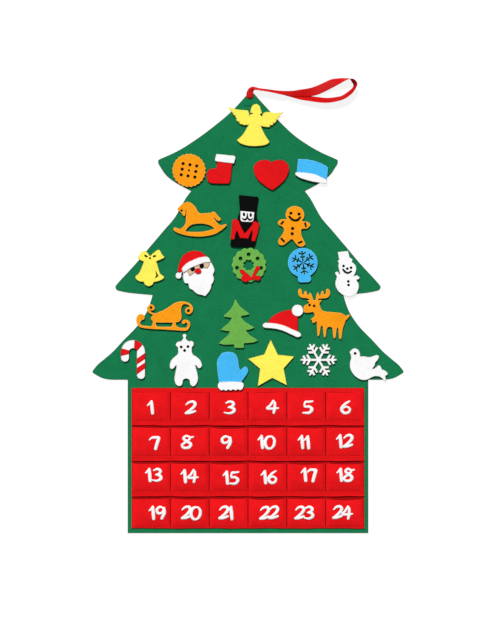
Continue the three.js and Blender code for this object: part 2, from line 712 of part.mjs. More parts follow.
const sleigh = outline([-8.9, 2.6],
  [[-1.2, 5.5], [6.5, 10.1], [11.1, 13.2], [16.5, 14.5], [21.8, 14.2], [26.5, 12], [28.9, 8.2],
    [28.4, 4.3], [25.7, 1.8], [23, 2], [21.1, 4.3], [21.8, 7.4], [24.3, 8.8]],
  [[26, 8.8]],
  [[24.6, 10.8], [21.8, 11.8], [19.2, 11.4], [17.6, 8.9], [17.1, 5.1], [17.6, 1.2], [17.6, -1.8],
    [16.5, -4.6], [14.4, -6.1]],
  [[11.9, -6.3]],
  [[12, -9]],
  [[14.4, -11.2], [18.6, -11.8], [22.2, -11.6], [23.6, -9], [22.9, -6.7]],
  [[21.1, -6.8]],
  [[20.3, -8.2], [18.4, -7.6], [18, -5.7], [19.5, -4], [22.6, -3.6], [25.3, -5.5], [26.2, -8.8],
    [24.9, -12.6], [21.8, -14.8], [14.2, -14.5], [-1.2, -13.5], [-12.8, -13], [-22, -11.8],
    [-25.5, -10.1], [-27.4, -6.5], [-27.6, -2.6], [-26.2, 0.8], [-23.5, 2.2], [-20.1, 0.8],
    [-19.3, -1.8], [-20.3, -3.9]],
  [[-22.8, -4.2], [-23.9, -6.5], [-23.2, -8.6], [-21, -9.6]],
  [[-13.2, -10.3]],
  [[-11.6, -8.8], [-11.2, -5]],
  [[-12.9, -3.6], [-12.9, -1.6], [-10.8, 1]],
  [[-14.7, 2.8], [-16.9, 5.6], [-16.6, 9.4], [-13.8, 11.6], [-10.6, 10.8], [-9.2, 8], [-10.4, 5.8],
    [-12.6, 5.4]],
  [[-14, 6.2]],
  [[-12.8, 4], [-11, 3], [-8.9, 2.6]],
);
const sleighSlot = outline([-8.2, -6.5],
  [[8.8, -6.6]],
  [[8, -9.5], [6.5, -10.9]],
  [[-6.6, -10.7]],
  [[-8, -8.8]],
);
const sleighHoles = [sleighSlot, disc([24.4, 5.3], 1.2), disc([-12.9, 8.4], 1)];
const sleighShape = withHoles(sleigh, sleighHoles);
addMesh('sleigh', placed(withPad(plate(sleighShape), [6, 2], 10, 8), [-84, -4]), 'orange');

// Fir tree

const fir = outline([-2.6, 24.4],
  [[-0.7, 20.5], [2, 16.7], [6.6, 12.8], [10.9, 9.8]],
  [[10.7, 8.4]],
  [[7, 7.6], [2.8, 6.7]],
  [[5.1, 2.8], [8.9, -0.2], [16.6, -4.5]],
  [[12.4, -6.4], [7.8, -7.2]],
  [[11.2, -11.8], [15.8, -14.8], [20.2, -17.5]],
  [[15.1, -19.5], [6.2, -20.2]],
  [[5.8, -21.8], [6, -24.5]],
  [[4.7, -25]],
  [[-2.6, -25]],
  [[-3.8, -24.1]],
  [[-3.8, -21.4]],
  [[-13.4, -21.8], [-19.3, -20.2]],
  [[-14.9, -16.4], [-10.3, -12.5], [-8, -8.3]],
  [[-12.6, -7.9], [-17.6, -6.8]],
  [[-13.4, -3.3], [-8.8, 0.5], [-6.1, 5.2]],
  [[-13.8, 6.3]],
  [[-14.2, 7.3]],
  [[-8.8, 12.1], [-4.9, 17.5], [-3.4, 22.1], [-2.6, 24.4]],
);
addMesh('fir_tree', placed(withPad(plate(fir), [-0.6, 0], 8, 7), [-10, -11]), 'lime');

// Pointed hat with a white brim and pompom

const cone = outline([-14.4, -0.6],
  [[-11.6, 3.3], [-7.5, 6.9], [-1.1, 10.1], [6.2, 12], [13, 12.8]],
  [[16.6, 11], [15.8, 6.9]],
  [[15.8, -11.4]],
  [[8.9, -8.6], [0.7, -5.2], [-7.5, -3.2], [-14.6, -2.6]],
);
const hatBrim = outline([-16.4, -0.7],
  [[-7.2, -1.4], [1.4, -3.3], [10, -7.1], [17.4, -10.3]],
  [[19, -12.2], [18.4, -14.4], [15.2, -15.3]],
  [[7.8, -11.9], [0, -8.5], [-7.8, -6.6], [-16.8, -5.9]],
  [[-19.1, -4.6], [-18.9, -2], [-16.4, -0.7]],
);
addMesh('hat_cone', placed(withPad(plate(cone), [4, 3]), [34, -10]), 'red');
addMesh('hat_brim', placed(layer(hatBrim), [34, -10]), 'white');
addMesh('hat_pompom', placed(layer(scalloped([15.5, 11.5], 5.9, 0.3, 14)), [34, -10]), 'white');

// Reindeer

const reindeer = outline([-21.1, 8.1],
  [[-21.4, 5.4], [-21.1, 3], [-20.4, 1.5]],
  [[-16.7, 1.2], [-12.1, 2.1]],
  [[-11, 0.8], [-10.3, -2], [-12.6, -4]],
  [[-14.4, -5.2]],
  [[-13.1, -6.6], [-12.6, -9.1]],
  [[-10.8, -8.8], [-8.5, -7]],
  [[-8, -12], [-7.7, -20.3], [-6.8, -22.5], [-5.5, -20.3], [-4.4, -13.9], [-3.2, -11.4], [-2.1, -13.6],
    [-1.3, -21.2], [-0.2, -23.9], [0.9, -21.2], [1.6, -15.7], [3, -13.1]],
  [[6.2, -13]],
  [[7.5, -15.4], [8.2, -22.1], [9.3, -24.8], [10.7, -22.5], [11.6, -15.7], [12.5, -13.6], [13.4, -15.4],
    [14.1, -23.5], [15.3, -25.3], [16.5, -23.5], [17.6, -15.7], [19.4, -10.2], [20.6, -6.6]],
  [[22.6, -4.7], [24.9, -1.5], [23.5, -0.6], [20.8, -2]],
  [[18.5, -0.2], [14.4, 1.2], [7.1, 1.9], [-0.2, 2.6], [-3, 4], [-4.8, 7.2], [-5.5, 10.4]],
  [[-3.2, 14.1]],
  [[-6.4, 13.6]],
  [[-7.1, 14.9]],
  [[-4.4, 15.4], [0.7, 15.8], [3.6, 17.2], [5.2, 20.6], [4.3, 24.1], [2.5, 25.2], [1.1, 24.1],
    [0.9, 20.8], [-1, 19.4]],
  [[-1.6, 22.2], [-2.5, 23.1], [-3.7, 22], [-4.1, 19.2]],
  [[-5.7, 18.1]],
  [[-6.5, 20.9], [-7.5, 21.3], [-8.9, 18.1], [-9.4, 13.8]],
  [[-11.7, 13.8]],
  [[-12.6, 17.2], [-14, 20.4], [-15.3, 21.3], [-16.2, 18.8]],
  [[-18, 19.6]],
  [[-18.5, 22.2], [-19.6, 23.1], [-20.8, 22], [-21.3, 19.4]],
  [[-23, 20]],
  [[-23.3, 23.6], [-24.7, 25.4], [-26.3, 24.5], [-26.9, 21.8], [-26.1, 18.4], [-23.6, 16.4],
    [-18.5, 15.7], [-14.9, 14.6]],
  [[-18, 13.4]],
  [[-15.8, 11.5], [-17, 10.2]],
);
const reindeerEyes = [[-15.5, 9], [-10.9, 8.1]].map((at) => disc(at, 1));
const reindeerShape = withHoles(reindeer, reindeerEyes);
addMesh('reindeer', placed(withPad(plate(reindeerShape), [4, -5], 9, 8), [77, -2]), 'orange');

// Candy cane with four red stripes

const caneWidth = 8.2;
const caneBend = 8;
const caneTop = 5.8;
const caneFoot = -17;
const caneHook = 0.3;

function caneOutline() {
  const half = caneWidth / 2;
  const outer = caneBend + half;
  const inner = caneBend - half;
  return outline([outer, caneFoot],
    [[outer, caneTop]],
    arc([0, caneTop], outer, 0, 180, 10),
    [[-outer, caneHook]],
    arc([-caneBend, caneHook], half, 180, 360, 6),
    [[-inner, caneTop]],
    arc([0, caneTop], inner, 180, 0, 6),
    [[inner, caneFoot]],
    arc([caneBend, caneFoot], half, 180, 360, 6),
  );
}

const stripes = [
  [[-14, 10.4], [-3, 7.5], [-3, 4.3], [-14, 1.7]],
  [[1.8, 20], [0.9, 8.4], [3.4, 6.8], [4.4, 7.2], [10.6, 14.6]],
  [[13, 5.8], [3, -1.2], [3, -6.9], [13, -0.3]],
  [[13, -3.8], [3, -10.4], [3, -17], [13, -9.6]],
];
const caneAt = [-115, -46];
const stripeFelt = 1;
addMesh('candy_cane', placed(withPad(plate(caneOutline()), [caneBend, -9], 5, 11), caneAt), 'white');
stripes.forEach((stripe, i) => {
  const wholeCane = sheetOf(caneOutline(), topZ, stripeFelt);
  const block = sheetOf(polygon(stripe), topZ - 1, stripeFelt + 2);
  addMesh(`candy_cane_stripe_${i + 1}`, placed(common(wholeCane, block), caneAt), 'red');
});

// Polar bear

const bear = outline([-1.5, 27.1],
  [[-3, 26.4], [-3.4, 25], [-2.6, 23.4], [-3.9, 20.9], [-5.5, 19.5]],
  [[-7.8, 19.4], [-9.8, 17.6], [-10.1, 15.6], [-8.6, 13.9]],
  [[-7.9, 12.2], [-7.8, 9.2], [-8.5, 6.8], [-10.5, 4.9], [-13.5, 2.2], [-15.5, -0.8], [-16.2, -4.7],
    [-15.8, -7], [-13.9, -8.2], [-12, -7], [-10.5, -4.9]],
  [[-9.6, -4]],
  [[-9.7, -7], [-10.5, -10.8], [-11.4, -15.5], [-11.5, -19.3], [-10.1, -23.2], [-7.4, -25.1],
    [-4.7, -24.5], [-3.4, -22.4], [-2.9, -19.3], [-1.2, -17.9], [1.8, -17.9], [3.6, -19.7],
    [4.2, -23], [6.1, -25.1], [8.8, -24.8], [11.1, -21.6], [12.1, -17.8], [11.5, -13.2],
    [10.3, -8.5], [9.3, -4]],
  [[10.4, -4.5]],
  [[11.8, -6.6], [13.8, -7.2], [15.7, -5.5], [15.8, -3.2], [14.2, 0.7], [11.1, 3.8], [7.6, 6.1],
    [6.1, 8.4], [5.8, 11.5], [6.2, 14.1]],
  [[7.6, 15.7], [7.6, 18.4], [5.7, 20.1], [3.2, 19.6]],
  [[1.5, 20.7], [-0.3, 22.8], [0.4, 24.8], [0, 26.4], [-1.5, 27.1]],
);
const bearFace = [[-4.8, 14], [2, 14.4], [-1.4, 10.5]].map((at) => disc(at, 1.1));
const bearShape = withHoles(bear, bearFace);
addMesh('polar_bear', placed(withPad(plate(bearShape), [0, -4], 9, 9), [-62, -49]), 'white');

// Mitten, with its cuff sewn over the lower edge

const mitten = outline([-4, 19.1],
  [[-7.8, 18.6], [-10.9, 17], [-14.5, 11.3], [-15, 4.9], [-14.1, -4.2], [-12, -15.4]],
  [[9, -15.4]],
  [[10, -10.2], [14.3, -4.2], [16.1, 0.3], [15.2, 3.5], [12.9, 4.4], [10.2, 2.6], [7.9, 0.8]],
  [[7, 4.9], [6, 11.3], [4.2, 15.9], [0.6, 18.6], [-4, 19.1]],
);
const mittenCuff = outline([-12.4, -11],
  [[-2, -10.5], [9.4, -10.9]],
  [[11.4, -12.6], [11.6, -15.6], [10.2, -18.2]],
  [[8, -19.2], [6, -18.2]],
  [[3.6, -19.5], [1.2, -18.3]],
  [[-1.2, -19.6], [-3.6, -18.4]],
  [[-6, -19.8], [-8.4, -18.6]],
  [[-10.4, -19.6], [-12.6, -18.2]],
  [[-14.2, -15.8], [-14, -13], [-12.4, -11]],
);
addMesh('mitten', placed(withPad(plate(mitten), [-4, 5], 8, 7), [-16, -59]), 'blue');
addMesh('mitten_cuff', placed(layer(mittenCuff), [-16, -59]), 'white');

// Star

const starTips = [[-0.3, 25], [23.2, 8.5], [15.9, -20.3], [-13.3, -21.2], [-22.7, 6.2]];
const starNooks = [[6.8, 10.3], [12.7, -3.4], [1.3, -13], [-11, -3.8], [-6.7, 10.6]];
const star = polygon(starTips.flatMap((tip, i) => [tip, starNooks[i]]));
addMesh('star', placed(withPad(plate(star), [0, 0], 8, 7), [23, -53]), 'yellow');

// Snowflake

function snowflakeOutline() {
  const halfWidth = 1.15;
  const reach = 18.3;
  const side = armSide(halfWidth, [[8.6, 6], [13, 4.8]], Math.PI / 3);
  const upper = [...side, [reach - 0.6, halfWidth * 0.8], [reach, 0]];
  const lower = mirrored(upper).slice(1);
  const nook = [2 * halfWidth * Math.cos(armStep / 2), 2 * halfWidth * Math.sin(armStep / 2)];
  const points = [];
  for (let i = 0; i < armCount; i += 1) {
    points.push(...turned([...upper, ...lower].reverse(), i * armStep), ...turned([nook], i * armStep));
  }
  return polygon(points);
}

addMesh('snowflake', placed(withPad(plate(snowflakeOutline()), [0, 0], 5, 4), [70.6, -47.9]), 'white');

// Dove

const dove = outline([-17.5, 12.9],
  [[-15.9, 14.8], [-12.7, 16.6], [-9.5, 15.7], [-7.6, 13.4], [-6.9, 10.7], [-6.9, 8.4]],
  [[-3.1, 8.7], [2.4, 7.9], [6.1, 8.8], [9.3, 9.9], [11.6, 9.3], [11.8, 7], [10.2, 4.3], [8.4, 2.4],
    [7.7, -0.3], [5.2, -4]],
  [[7.4, -3.5], [9.7, -1.7], [12, -0.1]],
  [[13.8, -1.7], [14.8, -4.4]],
  [[18.4, -5.8], [20.7, -8.5], [20.2, -9.9], [18.4, -10.8]],
  [[18.9, -15.4], [18.4, -16.6]],
  [[15.7, -14], [12.5, -11.7], [7.9, -11.3], [4.2, -12.6], [0.6, -14.5], [-3.1, -15.1], [-6.7, -14.5],
    [-11.3, -11.7], [-14.9, -7.6], [-16.8, -3], [-17, 2.4], [-15.9, 7]],
  [[-16.3, 10.2]],
);
const doveShape = withHoles(dove, [disc([-11.9, 11.6], 1.1)]);
addMesh('dove', placed(withPad(plate(doveShape), [-4, -3], 9, 8), [119, -53]), 'white');

// Ribbon: a flat strip folded through the hole, and the loop that hangs from it

// Each station is the middle of the strip, its half width as a vector, and the way its face looks
function strip(stations, thickness) {
  const corners = [];
  stations.forEach(({ at, half, face }) => {
    const thick = new THREE.Vector3(...face).normalize().multiplyScalar(thickness / 2);
    const middle = new THREE.Vector3(...at);
    const across = new THREE.Vector3(...half);
    [[1, 1], [1, -1], [-1, -1], [-1, 1]].forEach(([w, t]) => {
      corners.push(middle.clone().addScaledVector(across, w).addScaledVector(thick, t));
    });
  });
  const triangles = [[0, 1, 2], [0, 2, 3]];
  for (let i = 0; i + 1 < stations.length; i += 1) {
    for (let k = 0; k < 4; k += 1) {
      const a = i * 4 + k;
      const b = i * 4 + ((k + 1) % 4);
      // The two faces of the strip share their diagonal, so that a twist leaves it as thick as it was
      if (k === 3) triangles.push([a, a + 4, b], [b, a + 4, b + 4]);
      else triangles.push([a, a + 4, b + 4], [a, b + 4, b]);
    }
  }
  const last = (stations.length - 1) * 4;
  triangles.push([last, last + 2, last + 1], [last, last + 3, last + 2]);
  const geometry = new THREE.BufferGeometry();
  geometry.setAttribute('position', new THREE.Float32BufferAttribute(corners.flatMap((c) => c.toArray()), 3));
  geometry.setIndex(triangles.flat());
  geometry.computeVertexNormals();
  return geometry;
}

const holeX = holeCentre[0] * square;
const holeY = holeCentre[1] * square;

// The strip comes up through the lower half of the hole, and both strands lie over the tip
function hitch() {
  const front = frontZ + ribbonGap + ribbonThickness / 2;
  const back = 0.05 + ribbonThickness / 2;
  const narrow = ribbonAtHole / 2;
  const tipY = treeTop * square;
  const low = holeY - 0.4 * holeRadius;
  const flat = (x, y, z, half, face) => ({ at: [x, y, z], half: [half, 0, 0], face: [0, 0, face] });
  const turn = (y, z, face) => ({ at: [holeX, y, z], half: [narrow, 0, 0], face: [0, -1, face] });
  return [
    flat(holeX + 1.5, tipY + ribbonOverTip, front, narrow + 0.5, 1),
    flat(holeX + 0.6, tipY - 1.5, front, narrow + 2, 1),
    flat(holeX, holeY + 0.7 * holeRadius, front, narrow, 1),
    turn(low + 0.6, front - 0.6, 1),
    turn(low, treeFelt / 2 + 0.2, 0),
    turn(low + 0.6, back + 0.6, -1),
    flat(holeX, holeY + 0.7 * holeRadius, back, narrow, -1),
    flat(holeX + 0.6, tipY - 1.5, back, narrow + 2, -1),
    flat(holeX + 1.5, tipY + ribbonOverTip, back, narrow + 0.5, -1),
  ];
}

addMesh('ribbon_hitch', placed(strip(hitch(), ribbonThickness), [0, 0]), 'ribbon');

// The loop beside the tip: the middle of the strip in squares, and how far its upper edge leans
// to the right of the way along it, in degrees from standing on the lower edge
const loopRun = [
  [4.9, 225, 0], [10.7, 224, 0], [18.7, 222.4, 0], [27.6, 221.2, 0], [37.3, 220.1, 14],
  [45.3, 219.2, 29], [52.9, 219, 40], [60.4, 219.8, 63], [68.4, 221.3, 74], [79.6, 226.9, 76],
  [85.8, 229.7, 70], [91.6, 231.3, 46], [96.9, 232.7, 20], [101.3, 233.3, 0], [105.1, 231.5, -10],
  [106.8, 227.6, -22], [105.3, 223.8, -22], [100.7, 219.1, -24], [93.8, 215.5, -30],
  [86.7, 213.3, -34], [79.6, 212.5, -35], [72, 213.1, -35], [62, 214.7, -29], [52, 216, -17],
  [42, 217.6, -8], [29.3, 219.7, 0], [18.7, 221.2, 0], [10.7, 222.6, 0], [4.9, 223.9, 0],
];

function loop() {
  return loopRun.map(([x, y, lean], i) => {
    const before = loopRun[Math.max(i - 1, 0)];
    const after = loopRun[Math.min(i + 1, loopRun.length - 1)];
    const length = Math.hypot(after[0] - before[0], after[1] - before[1]);
    const dx = (after[0] - before[0]) / length;
    const dy = (after[1] - before[1]) / length;
    const upright = Math.cos((lean * Math.PI) / 180);
    const flat = Math.sin((lean * Math.PI) / 180);
    const half = ribbonWidth / 2;
    return {
      at: [x * square, y * square, ribbonGap + half * upright],
      half: [-half * flat * dy, half * flat * dx, -half * upright],
      face: [-upright * dy, upright * dx, flat],
    };
  });
}

const loopStrip = strip(loop(), ribbonThickness);
addMesh('ribbon_loop', placed(loopStrip, [0, 0]), 'ribbon');

export default calendar;
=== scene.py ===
"""A felt advent calendar: a green felt fir tree with pockets, loose felt ornaments and a ribbon."""
import json
import math
import random
from functools import partial

import bmesh
import bpy
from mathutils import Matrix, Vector
from mathutils.geometry import tessellate_polygon

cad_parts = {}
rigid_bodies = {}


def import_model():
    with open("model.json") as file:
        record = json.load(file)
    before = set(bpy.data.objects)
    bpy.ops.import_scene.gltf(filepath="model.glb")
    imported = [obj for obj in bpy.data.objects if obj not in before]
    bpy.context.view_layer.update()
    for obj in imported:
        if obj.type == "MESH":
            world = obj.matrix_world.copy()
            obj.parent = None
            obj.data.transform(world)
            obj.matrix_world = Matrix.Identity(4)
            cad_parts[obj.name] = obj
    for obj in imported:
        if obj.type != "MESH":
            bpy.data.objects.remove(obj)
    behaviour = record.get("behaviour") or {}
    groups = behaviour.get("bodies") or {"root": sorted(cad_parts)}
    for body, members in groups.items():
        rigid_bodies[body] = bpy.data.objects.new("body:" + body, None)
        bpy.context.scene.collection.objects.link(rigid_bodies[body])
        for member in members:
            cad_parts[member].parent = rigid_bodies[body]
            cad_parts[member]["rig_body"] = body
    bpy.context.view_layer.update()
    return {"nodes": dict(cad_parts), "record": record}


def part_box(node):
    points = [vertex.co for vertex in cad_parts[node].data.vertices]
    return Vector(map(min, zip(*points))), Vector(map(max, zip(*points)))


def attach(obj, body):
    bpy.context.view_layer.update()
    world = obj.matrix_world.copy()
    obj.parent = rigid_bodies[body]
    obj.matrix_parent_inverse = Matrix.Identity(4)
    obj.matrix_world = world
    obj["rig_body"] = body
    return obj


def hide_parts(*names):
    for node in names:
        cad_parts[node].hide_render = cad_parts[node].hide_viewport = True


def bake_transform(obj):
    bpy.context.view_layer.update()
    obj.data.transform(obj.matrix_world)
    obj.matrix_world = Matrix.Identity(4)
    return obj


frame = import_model()
nodes = frame["nodes"]
slots = {part["node"]: part["material_slot"] for part in frame["record"]["subparts"]}
scene = bpy.context.scene

# One millimetre. The scene is in metres, and the tables and shapes below mostly in millimetres.
MM = 0.001


def mm(*values):
    return Vector([value * MM for value in values])


# Camera: straight above the calendar, which lies on its back

CAMERA_AT = (-0.00675, 0.00619, 3.005)
LENS = 77.6


def make_camera():
    data = bpy.data.cameras.new("camera")
    data.lens = LENS
    camera = bpy.data.objects.new("camera", data)
    camera.location = CAMERA_AT
    scene.collection.objects.link(camera)
    scene.camera = camera


make_camera()


# Materials

def srgb(r, g, b):
    def linear(value):
        value /= 255
        return value / 12.92 if value <= 0.04045 else ((value + 0.055) / 1.055) ** 2.4
    return linear(r), linear(g), linear(b), 1


def shade(colour, factor):
    return tuple(min(1, channel * factor) for channel in colour[:3]) + (1,)


def toward(colour, other, share):
    return tuple(a + (b - a) * share for a, b in zip(colour, other))


class Nodes:
    """A material's node tree, with short ways to add nodes and link them."""

    def __init__(self, material):
        material.use_nodes = True
        self.material = material
        self.tree = material.node_tree
        self.shader = self.tree.nodes["Principled BSDF"]

    def add(self, kind, **settings):
        node = self.tree.nodes.new(kind)
        for key, value in settings.items():
            setattr(node, key, value)
        return node

    def link(self, source, target):
        self.tree.links.new(source, target)

    def set(self, **values):
        for key, value in values.items():
            self.shader.inputs[key.replace("_", " ")].default_value = value

    def stretched(self, turn=0, stretch=(1, 1, 1), output="Object"):
        """Coordinates that are turned by some degrees and scaled along each axis."""
        coordinates = self.add("ShaderNodeTexCoord")
        mapping = self.add("ShaderNodeMapping")
        mapping.inputs["Rotation"].default_value = (0, 0, math.radians(turn))
        mapping.inputs["Scale"].default_value = stretch
        self.link(coordinates.outputs[output], mapping.inputs["Vector"])
        return mapping.outputs["Vector"]

    def noise(self, vector, scale, detail=2, roughness=0.5):
        noise = self.add("ShaderNodeTexNoise")
        noise.inputs["Scale"].default_value = scale
        noise.inputs["Detail"].default_value = detail
        noise.inputs["Roughness"].default_value = roughness
        self.link(vector, noise.inputs["Vector"])
        return noise.outputs["Fac"]

    def math(self, operation, a, b):
        node = self.add("ShaderNodeMath", operation=operation)
        for socket, value in zip(node.inputs, (a, b)):
            if isinstance(value, (int, float)):
                socket.default_value = value
            else:
                self.link(value, socket)
        return node.outputs["Value"]

    def ramp(self, factor, stops):
        ramp = self.add("ShaderNodeValToRGB")
        elements = ramp.color_ramp.elements
        while len(elements) < len(stops):
            elements.new(0.5)
        for element, (position, colour) in zip(elements, stops):
            element.position = position
            element.color = colour
        self.link(factor, ramp.inputs["Fac"])
        return ramp.outputs["Color"]

    def bump(self, height, strength, distance, normal=None):
        bump = self.add("ShaderNodeBump")
        bump.inputs["Strength"].default_value = strength
        bump.inputs["Distance"].default_value = distance
        self.link(height, bump.inputs["Height"])
        if normal is not None:
            self.link(normal, bump.inputs["Normal"])
        return bump.outputs["Normal"]


FELT_CONTRAST = 0.24
FIBRE_SCALE, CLUMP_SCALE, BLOTCH_SCALE = 1500, 420, 24
FIBRE_SHARE, CLUMP_SHARE, BLOTCH_SHARE = 0.6, 0.26, 0.14
WHITE = (1, 1, 1, 1)


def felt(name, colour, contrast=FELT_CONTRAST):
    """Pressed wool: tangled fibres in two directions, soft clumps and faint blotches."""
    made = Nodes(bpy.data.materials.new(name))
    one_way = made.noise(made.stretched(34, (1, 0.16, 1)), FIBRE_SCALE, 3, 0.6)
    other_way = made.noise(made.stretched(-28, (0.16, 1, 1)), FIBRE_SCALE, 3, 0.6)
    fibres = made.math("MAXIMUM", one_way, other_way)
    plain = made.stretched()
    clumps = made.noise(plain, CLUMP_SCALE, 2)
    blotches = made.noise(plain, BLOTCH_SCALE, 3)
    mixed = made.math("MULTIPLY", fibres, FIBRE_SHARE)
    mixed = made.math("ADD", mixed, made.math("MULTIPLY", clumps, CLUMP_SHARE))
    mixed = made.math("ADD", mixed, made.math("MULTIPLY", blotches, BLOTCH_SHARE))
    dark, light = shade(colour, 1 - contrast), shade(colour, 1 + contrast * 0.8)
    stops = [(0.42, dark), (0.53, colour), (0.65, light)]
    made.link(made.ramp(mixed, stops), made.shader.inputs["Base Color"])
    waves = made.bump(blotches, 0.3, 0.004)
    soft = made.bump(clumps, 0.3, 0.0007, waves)
    made.link(made.bump(fibres, 0.5, 0.0004, soft), made.shader.inputs["Normal"])
    made.set(Roughness=0.95, Specular_IOR_Level=0.05, Sheen_Weight=0.03, Sheen_Roughness=0.5)
    made.shader.inputs["Sheen Tint"].default_value = toward(colour, WHITE, 0.3)
    return made.material


def darker_below(material, y, share):
    """Darkens a felt below a y: there it lies in the shade behind the pockets' mouths."""
    made = Nodes(material)
    place = made.add("ShaderNodeSeparateXYZ")
    made.link(made.stretched(), place.inputs[0])
    below = made.math("LESS_THAN", place.outputs["Y"], y)
    kept = made.math("SUBTRACT", 1, made.math("MULTIPLY", below, 1 - share))
    scaled = made.add("ShaderNodeVectorMath", operation="SCALE")
    colour = made.shader.inputs["Base Color"]
    made.link(colour.links[0].from_socket, scaled.inputs[0])
    made.link(kept, scaled.inputs["Scale"])
    made.link(scaled.outputs[0], colour)


SATIN_THREADS = 900


def satin(name, colour):
    """Woven satin ribbon: a smooth face with fine threads along it and a soft streaky shine."""
    made = Nodes(bpy.data.materials.new(name))
    along = made.noise(made.stretched(0, (60, 2600, 1), "UV"), 1, 3, 0.6)
    cloudy = made.noise(made.stretched(0, (30, 90, 1), "UV"), 1, 2)
    threads = made.add("ShaderNodeTexWave", wave_type="BANDS", bands_direction="X")
    threads.inputs["Scale"].default_value = SATIN_THREADS
    made.link(made.stretched(output="UV"), threads.inputs["Vector"])
    halves = [made.math("MULTIPLY", streaks, 0.5) for streaks in (along, cloudy)]
    mixed = made.math("ADD", *halves)
    stops = [(0.34, shade(colour, 0.75)), (0.52, colour), (0.7, shade(colour, 1.15))]
    made.link(made.ramp(mixed, stops), made.shader.inputs["Base Color"])
    weave = made.bump(threads.outputs["Fac"], 0.25, 0.00012)
    made.link(made.bump(along, 0.3, 0.0002, weave), made.shader.inputs["Normal"])
    made.set(Roughness=0.5, Specular_IOR_Level=0.06, Anisotropic=0.5)
    return made.material


def thread(name, colour):
    """Sewing thread: fine strands that are twisted round each other."""
    made = Nodes(bpy.data.materials.new(name))
    twist = made.noise(made.stretched(45, (1, 0.2, 1)), 2600, 2)
    stops = [(0.3, shade(colour, 0.6)), (0.6, colour), (0.8, shade(colour, 1.25))]
    made.link(made.ramp(twist, stops), made.shader.inputs["Base Color"])
    made.link(made.bump(twist, 0.5, 0.0002), made.shader.inputs["Normal"])
    made.set(Roughness=0.7, Specular_IOR_Level=0.3)
    return made.material


# The colour of each felt's face, and below that of its cut edge, which carries painted light and
# shade
COLOURS = {
    "green_felt": srgb(23, 120, 75),
    "red_felt": srgb(226, 22, 26),
    "yellow_felt": srgb(254, 241, 92),
    "orange_felt": srgb(253, 156, 24),
    "lime_felt": srgb(110, 178, 77),
    "blue_felt": srgb(70, 184, 245),
    "white_felt": srgb(250, 249, 249),
    "black_felt": srgb(10, 11, 12),
    "skin_felt": srgb(216, 188, 158),
}
# Painted highlight and painted shade: each edge band is paler or darker than its face, for how the
# light falls on the cut edges
EDGE_LIGHT_SHADE_COLOURS = {
    "green_felt": srgb(14, 84, 52),
    "red_felt": srgb(190, 16, 20),
    "yellow_felt": srgb(240, 220, 96),
    "orange_felt": srgb(250, 174, 74),
    "lime_felt": srgb(122, 182, 90),
    "blue_felt": srgb(104, 190, 232),
    "white_felt": srgb(222, 220, 220),
    "black_felt": srgb(9, 10, 11),
    "skin_felt": srgb(190, 160, 130),
}
CONTRAST = {"white_felt": 0.11, "yellow_felt": 0.14, "blue_felt": 0.18}
# Below this y, in metres, the pocket backing keeps this share of its brightness
BACKING_SHADE_Y, BACKING_SHADE = -0.1812, 0.5
FACE = {
    slot: felt(slot, colour, CONTRAST.get(slot, FELT_CONTRAST)) for slot, colour in COLOURS.items()
}
EDGE_LIGHT_SHADE = {slot: felt(slot + "_edge_painted_light_shade", colour) for slot, colour in EDGE_LIGHT_SHADE_COLOURS.items()}
# Painted shade: a near-black felt on small holes' walls and in the globe's lines, where shade falls
# in the cuts
HOLE_SHADE = felt("hole_edge_painted_shade", srgb(20, 16, 12))
# Painted shade: a darker red for the felt beside the side seams, where shade falls in the creases
SEAM_SHADE = felt("pocket_seam_painted_shade", srgb(150, 9, 14))
# Lit and shaded copies of the red felt: the pockets' fronts are painted lighter, painted light that
# makes up for their tilt from the lamp, and the flat sewn feet darker, painted shade
POCKET_LIT = felt("pocket_felt_painted_light", srgb(236, 22, 27))
FOOT_SHADE = felt("pocket_foot_painted_shade", srgb(216, 18, 22))
BACKING = felt("backing_felt", COLOURS["red_felt"])
darker_below(BACKING, BACKING_SHADE_Y, BACKING_SHADE)
SATIN = satin("red_satin", srgb(200, 14, 15))
RED_THREAD = thread("red_thread", srgb(178, 12, 18))
# A real thread between the pockets, whose deep red is partly painted shade of the seams' creases
SEAM_THREAD_WITH_SHADE = thread("side_seam_thread_painted_shade", srgb(112, 6, 12))
GREEN_THREAD = thread("green_thread", srgb(10, 60, 40))


# Building blocks

def new_object(name, vertices, faces, materials, face_materials=None, smooth=True):
    mesh = bpy.data.meshes.new(name)
    mesh.from_pydata([tuple(v) for v in vertices], [], faces)
    for material in materials:
        mesh.materials.append(material)
    if face_materials:
        mesh.polygons.foreach_set("material_index", face_materials)
    if smooth:
        mesh.polygons.foreach_set("use_smooth", [True] * len(mesh.polygons))
    mesh.update()
    piece = bpy.data.objects.new(name, mesh)
    scene.collection.objects.link(piece)
    return piece


def face_outward(piece):
    bm = bmesh.new()
    bm.from_mesh(piece.data)
    bmesh.ops.recalc_face_normals(bm, faces=bm.faces)
    bm.to_mesh(piece.data)
    bm.free()


def spline(points, steps):
    """A smooth curve through points that are tuples or vectors of any number of values."""
    points = [Vector(p) for p in points]
    count = len(points)
    result = []
    for i in range(count - 1):
        b, c = points[i], points[i + 1]
        a = points[i - 1] if i > 0 else b * 2 - c
        d = points[i + 2] if i + 2 < count else c * 2 - b
        for step in range(steps):
            t = step / steps
            result.append(
                0.5 * ((2 * b) + (c - a) * t + (2 * a - 5 * b + 4 * c - d) * t ** 2
                       + (3 * b - 3 * c + d - a) * t ** 3)
            )
    result.append(points[-1])
    return result


# The ribbon comes first: one strip from the hole, over the tip, round the loop and back

